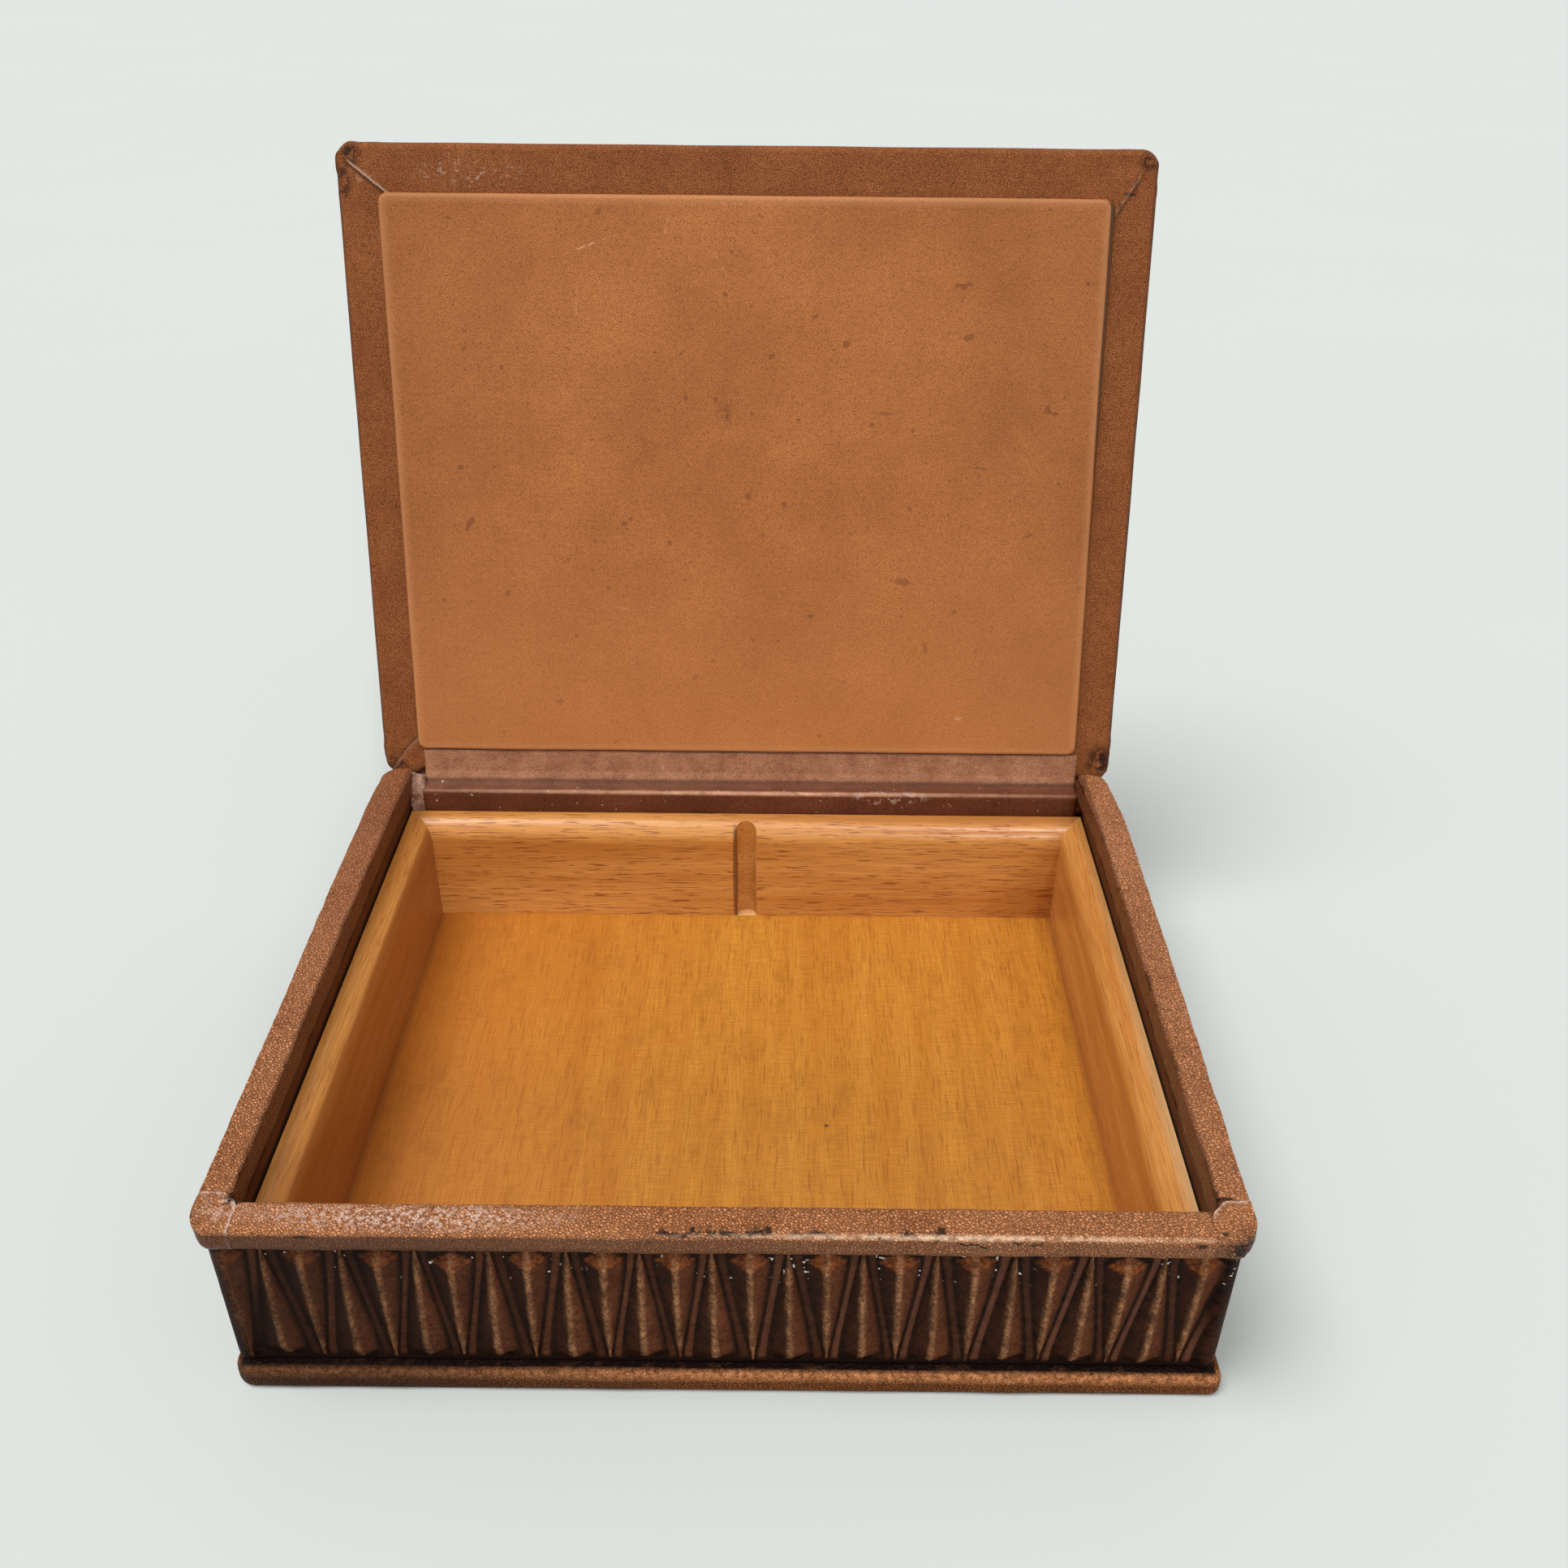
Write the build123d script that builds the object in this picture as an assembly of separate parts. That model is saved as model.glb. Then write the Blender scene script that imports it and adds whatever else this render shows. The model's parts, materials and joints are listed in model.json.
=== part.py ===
from build123d import *
import os
from math import cos, radians, sin

# A leather covered keepsake box with a beech lined inside and a flat lid that
# hangs on a leather hinge at the back.
# Millimetres. X runs to the right, Y to the back and Z up. The origin is on
# the table, under the middle of the closed box. The lid is modelled shut and
# then turned open, because the open lid is the resting pose of the part.

# Outline of the closed box
box_width = 205.0
box_depth = 164.6
rim_top = 49.3
lid_thickness = 6.0
lid_side_lap = 0.3
lid_open_angle = 104.0

# Leather, board and card thicknesses. The body leather is measured over its embossing.
body_leather = 1.8
wall_board = 2.4
inner_leather = 0.55
base_leather_thickness = 1.1
lid_skin = 1.0
strip_leather = 0.9
panel_skin = 0.6

# Base plate, a board wrapped in leather that stands out below the body
base_height = 5.8
base_overhang = 1.3
base_corner_radius = 3.5
base_edge_radius = 1.8
base_turn_in = 14.0

# Raised rim on the front and the two sides
rim_overhang = 2.9
rim_height = 6.6
rim_leather_thickness = 1.2
rim_edge_radius = 2.5
rim_lower_radius = 1.2
rim_corner_radius = 4.0
rim_end_radius = 2.0
rim_tuck = 1.3
corner_patch = 9.6

# Beech tray that lines the inside
tray_wall = 6.3
tray_top = 38.4
tray_floor_thickness = 1.2
tray_edge_radius = 6.0
tray_gap = 0.15
inner_leather_lap = 6.0

# Round bottomed slots for a loose divider, one in the front and one in the
# back of the tray
slot_width = 6.0
slot_depth = 3.5

# Leather hinge: an inner strip over the back wall and an outer spine strip
back_wall_drop = 4.1
hinge_inset = 0.75
hinge_drop = 1.2
strip_edge_gap = 2.2
strip_lap = 8.0
spine_width = 184.0
spine_lap = 15.0
fold_gap = 0.15

# Lid and the raised panel that lines it
lid_clearance = 0.3
lid_corner_radius = 3.5
lid_edge_radius = 1.8
lid_turn_in = 15.0
panel_side_inset = 10.4
panel_front_inset = 11.7
panel_rear_inset = 7.3
panel_height = 1.8
panel_edge_radius = 1.0
panel_corner_radius = 2.5

# Faces worked out from the sizes above, named from the middle outwards
rim_side = box_width / 2
rim_front = -box_depth / 2
lid_rear = box_depth / 2
body_side = rim_side - rim_overhang
body_front = rim_front + rim_overhang
body_back = lid_rear - strip_leather
board_side = body_side - body_leather
board_front = body_front + body_leather
board_back = body_back - body_leather
board_inner_side = board_side - wall_board
board_inner_front = board_front + wall_board
board_inner_back = board_back - wall_board
lined_side = board_inner_side - inner_leather
lined_front = board_inner_front + inner_leather
lined_back = board_inner_back - strip_leather
rim_bottom = rim_top - rim_height
board_top = rim_bottom + rim_tuck
back_board_top = rim_top - back_wall_drop - strip_leather
tray_side = lined_side - tray_gap
tray_front_face = lined_front + tray_gap
tray_back_face = lined_back - tray_gap
floor_top = base_height + tray_floor_thickness
base_side = body_side + base_overhang
base_front = body_front - base_overhang
base_back = body_back + base_overhang
strip_half_width = lined_side - strip_edge_gap
lid_side = rim_side + lid_side_lap
lid_under = rim_top + lid_clearance
hinge_y = lid_rear - hinge_inset
hinge_z = rim_top - hinge_drop


def block(x0, x1, y0, y1, z0, z1):
    """A box between two corners."""
    middle = Pos((x0 + x1) / 2, (y0 + y1) / 2, (z0 + z1) / 2)
    return middle * Box(x1 - x0, y1 - y0, z1 - z0)


def prism_up(points, z0, z1):
    """An upright prism over an outline given as (x, y) points."""
    outline = make_face(Polyline(*points, close=True))
    return Pos(0, 0, z0) * extrude(outline, z1 - z0, dir=(0, 0, 1))


def prism_across(points, half_width):
    """A bar along X with a section given as (y, z) points."""
    section = make_face(Polyline(*[(-half_width, y, z) for y, z in points], close=True))
    return extrude(section, 2 * half_width, dir=(1, 0, 0))


def upright_edges(solid):
    """The vertical edges of a block, from front to back."""
    return solid.edges().filter_by(Axis.Z).sort_by(Axis.Y)


def opened(solid):
    """Turn a piece of the shut lid about the hinge line to the open pose."""
    return solid.rotate(Axis((0, hinge_y, hinge_z), (1, 0, 0)), -lid_open_angle)


def opened_point(inset, above):
    """Where a point of the lid lies when open: inset from its rear, above its underside."""
    y = lid_rear - inset - hinge_y
    z = lid_under + above - hinge_z
    turn = radians(-lid_open_angle)
    return hinge_y + y * cos(turn) - z * sin(turn), hinge_z + y * sin(turn) + z * cos(turn)


# Base plate: a board, the leather wrapped over its edges and a card that
# fills the window between the turned in edges of the leather
board_z0 = base_leather_thickness
board_z1 = base_height - base_leather_thickness
window_side = base_side - base_turn_in
window_front = base_front + base_turn_in
window_back = base_back - base_turn_in


def make_base_board():
    skin = base_leather_thickness
    board = block(-base_side + skin, base_side - skin, base_front + skin, base_back - skin,
                  board_z0, board_z1)
    return fillet(upright_edges(board), base_corner_radius - skin)


def make_base_lining():
    return block(-window_side, window_side, window_front, window_back, board_z1, base_height)


def make_base_leather():
    plate = block(-base_side, base_side, base_front, base_back, 0, base_height)
    plate = fillet(upright_edges(plate), base_corner_radius)
    levels = plate.edges().group_by(Axis.Z)
    plate = fillet(levels[0] + levels[-1], base_edge_radius)
    return plate - make_base_board() - make_base_lining()


# Body: four thin boards with a leather panel glued on the outside of each
def make_front_board():
    return block(-board_side, board_side, board_front, board_inner_front, base_height, board_top)


def make_side_board(side):
    x0, x1 = sorted((side * board_inner_side, side * board_side))
    return block(x0, x1, board_inner_front, board_back, base_height, board_top)


def make_back_board():
    return block(-board_inner_side, board_inner_side, board_inner_back, board_back,
                 base_height, back_board_top)


def make_front_leather():
    return block(-body_side, body_side, body_front, board_front, base_height, board_top)


def make_side_leather(side):
    x0, x1 = sorted((side * board_side, side * body_side))
    return block(x0, x1, board_front, board_back, base_height, board_top)


def make_back_leather():
    panel = block(-body_side, body_side, board_back, body_back, base_height, rim_bottom)
    tongue = block(-lined_side + tray_gap, lined_side - tray_gap, board_back, body_back,
                   rim_bottom, back_board_top)
    return panel + tongue


# Rim: a wooden strip on top of the front and side boards, under thick
# leather that overhangs the body, with a folded patch on each front corner
core_side = rim_side - rim_leather_thickness
core_front = rim_front + rim_leather_thickness
core_back = body_back - rim_leather_thickness
core_top = rim_top - rim_leather_thickness


def rim_ring():
    """The rounded outside of the whole rim, open at the back."""
    outer = block(-rim_side, rim_side, rim_front, body_back, rim_bottom, rim_top)
    outer = fillet(upright_edges(outer)[:2], rim_corner_radius)
    outer = fillet(upright_edges(outer)[-2:], rim_end_radius)
    inner = block(-lined_side, lined_side, lined_front, body_back + 1, rim_bottom, rim_top)
    ring = outer - inner
    ring = fillet(ring.edges().group_by(Axis.Z)[-1], rim_edge_radius)
    lowest = ring.edges().group_by(Axis.Z)[0]
    beside = lowest.filter_by(lambda edge: abs(edge.center().X) > body_side)
    before = lowest.filter_by(lambda edge: edge.center().Y < body_front)
    return fillet(set(beside + before), rim_lower_radius)


def make_front_core():
    corners = [(-core_side, core_front), (core_side, core_front),
               (board_inner_side, board_inner_front), (-board_inner_side, board_inner_front)]
    return prism_up(corners, board_top, core_top)


def make_side_core(side):
    corners = [(side * core_side, core_front), (side * core_side, core_back),
               (side * board_inner_side, core_back), (side * board_inner_side, board_inner_front)]
    return prism_up(corners, board_top, core_top)


def rim_leather(keep):
    """The part of the rim inside a box, less the wood and leather under it."""
    piece = rim_ring() & keep
    under = [make_front_core(), make_side_core(-1), make_side_core(1), make_front_board(),
             make_side_board(-1), make_side_board(1), make_back_board(), make_front_leather(),
             make_side_leather(-1), make_side_leather(1), make_back_leather()]
    for neighbour in under:
        piece = piece - neighbour
    return piece


patch_side = rim_side - corner_patch
patch_front = rim_front + corner_patch


def make_front_rim_leather():
    return rim_leather(block(-patch_side, patch_side, rim_front, lined_front, rim_bottom, rim_top))


def make_side_rim_leather(side):
    x0, x1 = sorted((side * lined_side, side * rim_side))
    return rim_leather(block(x0, x1, patch_front, body_back, rim_bottom, rim_top))


def make_corner_patch(side):
    x0, x1 = sorted((side * patch_side, side * rim_side))
    return rim_leather(block(x0, x1, rim_front, patch_front, rim_bottom, rim_top))


# Smooth leather that lines the boards between the rim and the tray
inner_leather_bottom = tray_top - inner_leather_lap


def make_front_inner_leather():
    return block(-board_inner_side, board_inner_side, board_inner_front, lined_front,
                 inner_leather_bottom, rim_bottom)


def make_side_inner_leather(side):
    x0, x1 = sorted((side * lined_side, side * board_inner_side))
    return block(x0, x1, lined_front, board_inner_back, inner_leather_bottom, rim_bottom)


# Beech tray: four mitred walls with a rounded inner edge and a thin floor
tray_inner_side = tray_side - tray_wall
tray_inner_front = tray_front_face + tray_wall
tray_inner_back = tray_back_face - tray_wall


def rounded_rail(outline, along, inner_edge):
    """A mitred wall whose inner top edge is rounded over."""
    rail = prism_up(outline, base_height, tray_top)
    top = rail.edges().group_by(Axis.Z)[-1].filter_by(along)
    return fillet(inner_edge(top), tray_edge_radius)


def divider_slot(wall_face, towards):
    """The cutter of a round bottomed slot in a wall's inner face, from the floor up."""
    radius = slot_width / 2
    middle = wall_face + towards * (slot_depth - radius)
    height = tray_top - floor_top + 1
    y0, y1 = sorted((wall_face - towards, middle))
    straight = block(-radius, radius, y0, y1, floor_top, floor_top + height)
    return straight + Pos(0, middle, floor_top + height / 2) * Cylinder(radius, height)


def make_tray_front():
    outline = [(-tray_side, tray_front_face), (tray_side, tray_front_face),
               (tray_inner_side, tray_inner_front), (-tray_inner_side, tray_inner_front)]
    rail = rounded_rail(outline, Axis.X, lambda top: top.sort_by(Axis.Y)[-1])
    return rail - divider_slot(tray_inner_front, -1)


def make_tray_back():
    outline = [(-tray_inner_side, tray_inner_back), (tray_inner_side, tray_inner_back),
               (tray_side, tray_back_face), (-tray_side, tray_back_face)]
    rail = rounded_rail(outline, Axis.X, lambda top: top.sort_by(Axis.Y)[0])
    return rail - divider_slot(tray_inner_back, 1)


def make_tray_side(side):
    outline = [(side * tray_side, tray_front_face), (side * tray_side, tray_back_face),
               (side * tray_inner_side, tray_inner_back), (side * tray_inner_side, tray_inner_front)]
    return rounded_rail(outline, Axis.Y, lambda top: top.sort_by(Axis.X)[0 if side > 0 else -1])


def make_tray_floor():
    return block(-tray_inner_side, tray_inner_side, tray_inner_front, tray_inner_back,
                 base_height, floor_top)


# Lid: a board wrapped in leather, a card that levels the turned in edges and
# a thin lined panel glued over them, all modelled shut
lid_top = lid_under + lid_thickness
lid_back = lid_rear - strip_leather
infill_side = lid_side - lid_turn_in
infill_front = rim_front + lid_turn_in
infill_back = lid_back - lid_turn_in
panel_side = lid_side - panel_side_inset
panel_front = rim_front + panel_front_inset
panel_back = lid_rear - panel_rear_inset


def make_lid_board():
    board = block(-lid_side + lid_skin, lid_side - lid_skin, rim_front + lid_skin,
                  lid_back - lid_skin, lid_under + lid_skin, lid_top - lid_skin)
    return fillet(upright_edges(board), lid_corner_radius - lid_skin)


def make_lid_infill():
    return block(-infill_side, infill_side, infill_front, infill_back,
                 lid_under, lid_under + lid_skin)


def make_lid_leather():
    slab = block(-lid_side, lid_side, rim_front, lid_back, lid_under, lid_top)
    slab = fillet(upright_edges(slab), lid_corner_radius)
    levels = slab.edges().group_by(Axis.Z)
    slab = fillet(levels[0] + levels[-1], lid_edge_radius)
    return slab - make_lid_board() - make_lid_infill()


def panel_slab(skin):
    """The raised panel, or with a skin left off the board inside it."""
    slab = block(-panel_side + skin, panel_side - skin, panel_front + skin, panel_back - skin,
                 lid_under - panel_height + skin, lid_under)
    return fillet(upright_edges(slab), panel_corner_radius - skin)


def make_panel_board():
    return panel_slab(panel_skin)


def make_panel_leather():
    slab = panel_slab(0)
    slab = fillet(slab.edges().group_by(Axis.Z)[0], panel_edge_radius)
    return slab - make_panel_board()


# Leather hinge. On each strip one leaf is glued to the back wall and one to
# the lid, and the stretch between them folds as the lid turns.
strip_end = board_back + body_leather / 2
strip_top = back_board_top + strip_leather


def make_hinge_strip_wall():
    drop = block(-strip_half_width, strip_half_width, lined_back, board_inner_back,
                 tray_top - strip_lap, strip_top)
    cap = block(-strip_half_width, strip_half_width, lined_back, strip_end,
                back_board_top, strip_top)
    return drop + cap


def make_hinge_strip_lid():
    return block(-strip_half_width, strip_half_width, panel_back + fold_gap,
                 lid_rear - strip_leather, lid_under - strip_leather, lid_under)


def make_hinge_strip_fold():
    inner = opened_point(strip_leather - fold_gap, -strip_leather)
    outer = opened_point(strip_leather - fold_gap, 0)
    start = strip_end + fold_gap
    section = [(start, back_board_top), (start, strip_top), inner, outer]
    return prism_across(section, strip_half_width)


def make_spine_wall():
    return block(-spine_width / 2, spine_width / 2, body_back, lid_rear,
                 back_board_top - spine_lap, back_board_top)


def make_spine_lid():
    return block(-spine_width / 2, spine_width / 2, lid_back, lid_rear,
                 lid_under + lid_edge_radius, lid_top - lid_edge_radius)


def make_spine_fold():
    start = back_board_top + fold_gap
    low = opened_point(0, lid_edge_radius - fold_gap)
    tip = opened_point(strip_leather - fold_gap, lid_edge_radius - fold_gap)
    section = [(body_back + fold_gap, start), (lid_rear, start), low, tip]
    return prism_across(section, spine_width / 2)


nodes = {
    "base_board": make_base_board(),
    "base_leather": make_base_leather(),
    "base_lining": make_base_lining(),
    "front_board": make_front_board(),
    "left_board": make_side_board(-1),
    "right_board": make_side_board(1),
    "back_board": make_back_board(),
    "front_leather": make_front_leather(),
    "left_leather": make_side_leather(-1),
    "right_leather": make_side_leather(1),
    "back_leather": make_back_leather(),
    "front_rim_core": make_front_core(),
    "left_rim_core": make_side_core(-1),
    "right_rim_core": make_side_core(1),
    "front_rim_leather": make_front_rim_leather(),
    "left_rim_leather": make_side_rim_leather(-1),
    "right_rim_leather": make_side_rim_leather(1),
    "left_corner_patch": make_corner_patch(-1),
    "right_corner_patch": make_corner_patch(1),
    "front_inner_leather": make_front_inner_leather(),
    "left_inner_leather": make_side_inner_leather(-1),
    "right_inner_leather": make_side_inner_leather(1),
    "tray_floor": make_tray_floor(),
    "tray_front": make_tray_front(),
    "tray_back": make_tray_back(),
    "tray_left": make_tray_side(-1),
    "tray_right": make_tray_side(1),
    "hinge_strip_wall": make_hinge_strip_wall(),
    "hinge_strip_fold": make_hinge_strip_fold(),
    "hinge_strip_lid": opened(make_hinge_strip_lid()),
    "spine_wall": make_spine_wall(),
    "spine_fold": make_spine_fold(),
    "spine_lid": opened(make_spine_lid()),
    "lid_board": opened(make_lid_board()),
    "lid_infill": opened(make_lid_infill()),
    "lid_leather": opened(make_lid_leather()),
    "panel_board": opened(make_panel_board()),
    "panel_leather": opened(make_panel_leather()),
}

os.makedirs("parts", exist_ok=True)
for name, solid in nodes.items():
    solid.label = name
    export_step(solid, f"parts/{name}.step")
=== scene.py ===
import bmesh
import bpy
import json
from math import cos, exp, pi, radians, sin
from mathutils import Matrix, Vector, noise


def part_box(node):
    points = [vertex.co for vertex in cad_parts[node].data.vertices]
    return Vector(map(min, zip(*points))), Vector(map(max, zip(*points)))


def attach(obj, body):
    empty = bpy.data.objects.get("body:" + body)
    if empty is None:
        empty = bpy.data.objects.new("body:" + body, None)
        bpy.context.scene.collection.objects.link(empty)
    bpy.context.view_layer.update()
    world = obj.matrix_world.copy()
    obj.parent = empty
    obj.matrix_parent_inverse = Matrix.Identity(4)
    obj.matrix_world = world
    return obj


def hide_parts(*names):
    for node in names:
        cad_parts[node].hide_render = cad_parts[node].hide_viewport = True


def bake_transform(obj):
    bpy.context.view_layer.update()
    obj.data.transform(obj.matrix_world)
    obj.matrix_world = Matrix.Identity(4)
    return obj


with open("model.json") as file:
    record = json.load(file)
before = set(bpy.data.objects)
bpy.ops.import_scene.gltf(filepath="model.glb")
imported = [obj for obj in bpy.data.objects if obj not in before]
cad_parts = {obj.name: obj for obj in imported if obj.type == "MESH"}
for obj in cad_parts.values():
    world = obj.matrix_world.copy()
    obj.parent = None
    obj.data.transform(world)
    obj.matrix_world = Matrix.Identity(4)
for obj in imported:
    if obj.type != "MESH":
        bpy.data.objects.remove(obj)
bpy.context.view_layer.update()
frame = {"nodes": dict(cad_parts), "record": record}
mm = 0.001
scene = bpy.context.scene

# The camera stands in front of the box and a little above the open lid, and
# looks down into the tray with a short lens, a hair out of level.
CAMERA_PLACE = Vector((10.62, -264.21, 265.94)) * mm
CAMERA_TILT = radians(90 - 32.568)
CAMERA_ROLL = radians(0.55)
CAMERA_LENS = 33.15
CAMERA_SENSOR = 36

camera = bpy.data.objects.new("camera", bpy.data.cameras.new("camera"))
camera.data.lens = CAMERA_LENS
camera.data.sensor_width = CAMERA_SENSOR
camera.data.clip_start = 10 * mm
camera.matrix_world = (Matrix.Translation(CAMERA_PLACE)
                       @ Matrix.Rotation(CAMERA_TILT, 4, "X")
                       @ Matrix.Rotation(CAMERA_ROLL, 4, "Z"))
scene.collection.objects.link(camera)
scene.camera = camera


# Boards, cards and rim strips: the plain grey brown core of the box, glued up
# first and then hidden under the leather.
def add(source, kind, values=(), **settings):
    """Add a node beside a socket or node, with its settings and its inputs, each a socket or a value."""
    tree = source.id_data
    made = tree.nodes.new("ShaderNode" + kind)
    for key, value in settings.items():
        setattr(made, key, value)
    for key, value in dict(values).items():
        if isinstance(value, bpy.types.NodeSocket):
            tree.links.new(value, made.inputs[key])
        else:
            made.inputs[key].default_value = value
    return made


def begin(name, roughness, specular=0.5):
    """A new material, its shader and its object coordinates."""
    material = bpy.data.materials.new(name)
    material.use_nodes = True
    shader = material.node_tree.nodes["Principled BSDF"]
    shader.inputs["Roughness"].default_value = roughness
    shader.inputs["Specular IOR Level"].default_value = specular
    return material, shader, add(shader, "TexCoord").outputs["Object"]


def placed(place, scale=(1, 1, 1), turn=(0, 0, 0), shift=(0, 0, 0)):
    """Coordinates scaled, then turned, then shifted."""
    values = {"Vector": place, "Scale": scale, "Rotation": turn, "Location": shift}
    return add(place, "Mapping", values).outputs["Vector"]


def clouds(place, scale, detail=4, roughness=0.6):
    """Soft noise as one value."""
    values = {"Vector": place, "Scale": scale, "Detail": detail, "Roughness": roughness}
    return add(place, "TexNoise", values).outputs["Fac"]


def tint(amount, first, second):
    """Mix two colours, each a socket or a colour, by an amount."""
    made = add(amount, "Mix", data_type="RGBA")
    slots = [slot for slot in made.inputs if slot.enabled]
    for slot, value in zip(slots, (amount, first, second)):
        if isinstance(value, tuple):
            slot.default_value = value + (1,)
        else:
            made.id_data.links.new(value, slot)
    return [slot for slot in made.outputs if slot.enabled][0]


def feed(shader, name, value):
    """Link a value to an input of the shader."""
    shader.id_data.links.new(value, shader.inputs[name])


def paint(shader, colour):
    feed(shader, "Base Color", colour)


def bump(shader, height, distance):
    """Bend the surface normal by a height, given in mm at a height of one."""
    bent = add(shader, "Bump", {"Height": height, "Distance": distance * mm})
    feed(shader, "Normal", bent.outputs["Normal"])


def dress(names, material):
    """Give carried over pieces a finish."""
    for name in names:
        mesh = frame["nodes"][name].data
        mesh.materials.clear()
        mesh.materials.append(material)


board, shader, place = begin("board", 0.85, 0.2)
fibres = clouds(placed(place, (1, 6, 6)), 300)
paint(shader, tint(fibres, (0.045, 0.022, 0.014), (0.1, 0.055, 0.035)))
bump(shader, fibres, 0.1)
parts = frame["record"]["subparts"]
dress([part["node"] for part in parts if part["material_slot"] == "hidden_board"], board)


# Base plate: a board wrapped in fine grained tan brown leather, turned in
# over its top edge, on which the body stands.
def between(value, low, high, start=0, end=1):
    """Spread a value between two limits over a new range, clamped."""
    values = {"Value": value, "From Min": low, "From Max": high, "To Min": start, "To Max": end}
    return add(value, "MapRange", values).outputs["Result"]


def ramp(value, low, high, start=0, end=1):
    """Spread a value between two limits in mm."""
    return between(value, low * mm, high * mm, start, end)


def maths(how, first, second=0):
    """One sum of a socket and a second socket or number."""
    return add(first, "Math", {0: first, 1: second}, operation=how).outputs["Value"]


def product(first, *others):
    for other in others:
        first = maths("MULTIPLY", first, other)
    return first


def axes(place):
    """The X, Y and Z of a place."""
    return tuple(add(place, "SeparateXYZ", {"Vector": place}).outputs)


def marked(place, name):
    """A value kept on the points of a piece."""
    return add(place, "Attribute", attribute_name=name).outputs["Fac"]


def toned(colour, shares):
    """A colour with each of its parts taken to a share."""
    return tuple(part * share for part, share in zip(colour, shares))


def pebbles(place, size, lean=0, long=1):
    """Raised pebbles of grain of a size in mm, as a height, drawn out along a leaning direction."""
    size *= mm
    if lean:
        place = placed(place, turn=(0, 0.4 * lean, lean))
    place = placed(place, (1 / long, 1, 1))
    wobble = add(place, "TexNoise", {"Vector": place, "Scale": 0.35 / size, "Detail": 2}).outputs["Color"]
    moved = add(place, "VectorMath", {0: wobble, 1: (size * 1.3,) * 3, 2: place}, operation="MULTIPLY_ADD")
    values = {"Vector": moved.outputs["Vector"], "Scale": 1 / size, "Randomness": 1}
    cells = add(place, "TexVoronoi", values, feature="DISTANCE_TO_EDGE")
    return between(cells.outputs["Distance"], 0, 0.3)


def leather(name, dark, light, grain, depth, roughness, specular, crease_dye_and_shade=0.5, mottle=55,
            lean=0, long=1, sanding_and_highlight=0):
    """Mottled leather, its pebbled grain in mm, darker in its creases with dye and painted shade, and paler
    on its pebble tops with sanding and a painted highlight. Hands back its colour too.
    """
    material, shader, place = begin(name, roughness, specular)
    cells = pebbles(place, grain, lean, long)
    height = maths("ADD", product(cells, 0.65), product(clouds(place, 1.7 / (grain * mm), 3), 0.7))
    colour = tint(between(clouds(place, mottle, 8, 0.7), 0.3, 0.7), dark, light)
    # Painted shade in the creases of the grain, over the dye that gathers there.
    colour = tint(between(height, 0.66, 0.36, 0, 0.85), colour, toned(dark, (1 - crease_dye_and_shade,) * 3))
    # A painted highlight on the pebble tops, over some sanding wear.
    if sanding_and_highlight:
        colour = tint(between(height, 0.84, 1.08, 0, sanding_and_highlight), colour, toned(light, (1.6, 1.75, 2)))
    pores = between(clouds(place, 0.55 / (grain * mm), 2, 0.5), 0.68, 0.74, 0, 0.6)
    colour = tint(pores, colour, toned(dark, (0.35,) * 3))
    paint(shader, colour)
    rough = between(clouds(place, mottle * 2.3, 4), 0.3, 0.7, roughness - 0.08, roughness + 0.1)
    feed(shader, "Roughness", rough)
    bump(shader, height, depth)
    return material, shader, place, colour


def ease(value, low, high):
    """0 below one limit and 1 above the other, with a smooth step between."""
    share = min(1, max(0, (value - low) / (high - low)))
    return share * share * (3 - 2 * share)


def slab(low, high):
    """A closed block between two corners."""
    shape = bmesh.new()
    bmesh.ops.create_cube(shape, size=1)
    bmesh.ops.scale(shape, verts=shape.verts, vec=Vector(high) - Vector(low))
    bmesh.ops.translate(shape, verts=shape.verts, vec=(Vector(high) + Vector(low)) / 2)
    return shape


def round_edges(shape, radius, chosen, segments=5):
    """Round the edges that a test of their two ends picks by a radius in mm."""
    edges = [edge for edge in shape.edges if chosen(edge.verts[0].co, edge.verts[1].co)]
    bmesh.ops.bevel(shape, geom=edges, offset=radius * mm, offset_type="OFFSET", affect="EDGES",
                    segments=segments, profile=0.5, material=-1, clamp_overlap=True)


def upright(a, b):
    return abs((a - b).z) > 0.6 * (a - b).length


def at_height(z):
    return lambda a, b: max(abs(a.z - z), abs(b.z - z)) < 0.01 * mm


def cut(shape, point, normal, beyond=False):
    """Cut a shape through along a plane, and take off what lies beyond it if asked."""
    bmesh.ops.bisect_plane(shape, geom=shape.verts[:] + shape.edges[:] + shape.faces[:], dist=0.001 * mm,
                           plane_co=point, plane_no=normal, clear_outer=beyond)


def cut_at(shape, axis, places):
    """Cut a shape across an axis at some places, so that it can bend there."""
    normal = Vector((0, 0, 0))
    normal[axis] = 1
    for place in places:
        cut(shape, normal * place, normal)


def slices(shape, axis, step):
    """Cut a shape into slices of about one step in mm."""
    ends = [vert.co[axis] for vert in shape.verts]
    low, high = min(ends), max(ends)
    count = int((high - low) / (step * mm))
    cut_at(shape, axis, [low + (high - low) * done / count for done in range(1, count)])


def unevenness(shape, amount, size, seed, held=lambda point: 0):
    """Push the points about by soft noise in mm, as hand worked leather lies, less where it is held."""
    shape.normal_update()
    for vert in shape.verts:
        here = vert.co / (size * mm) + Vector((seed, 0, 0))
        vert.co += vert.normal * amount * mm * noise.noise(here) * (1 - held(vert.co))


def laid(name, shape, material):
    """Make a shape an object with a finish."""
    mesh = bpy.data.meshes.new(name)
    shape.to_mesh(mesh)
    shape.free()
    mesh.materials.append(material)
    made = bpy.data.objects.new(name, mesh)
    scene.collection.objects.link(made)
    return made


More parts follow.
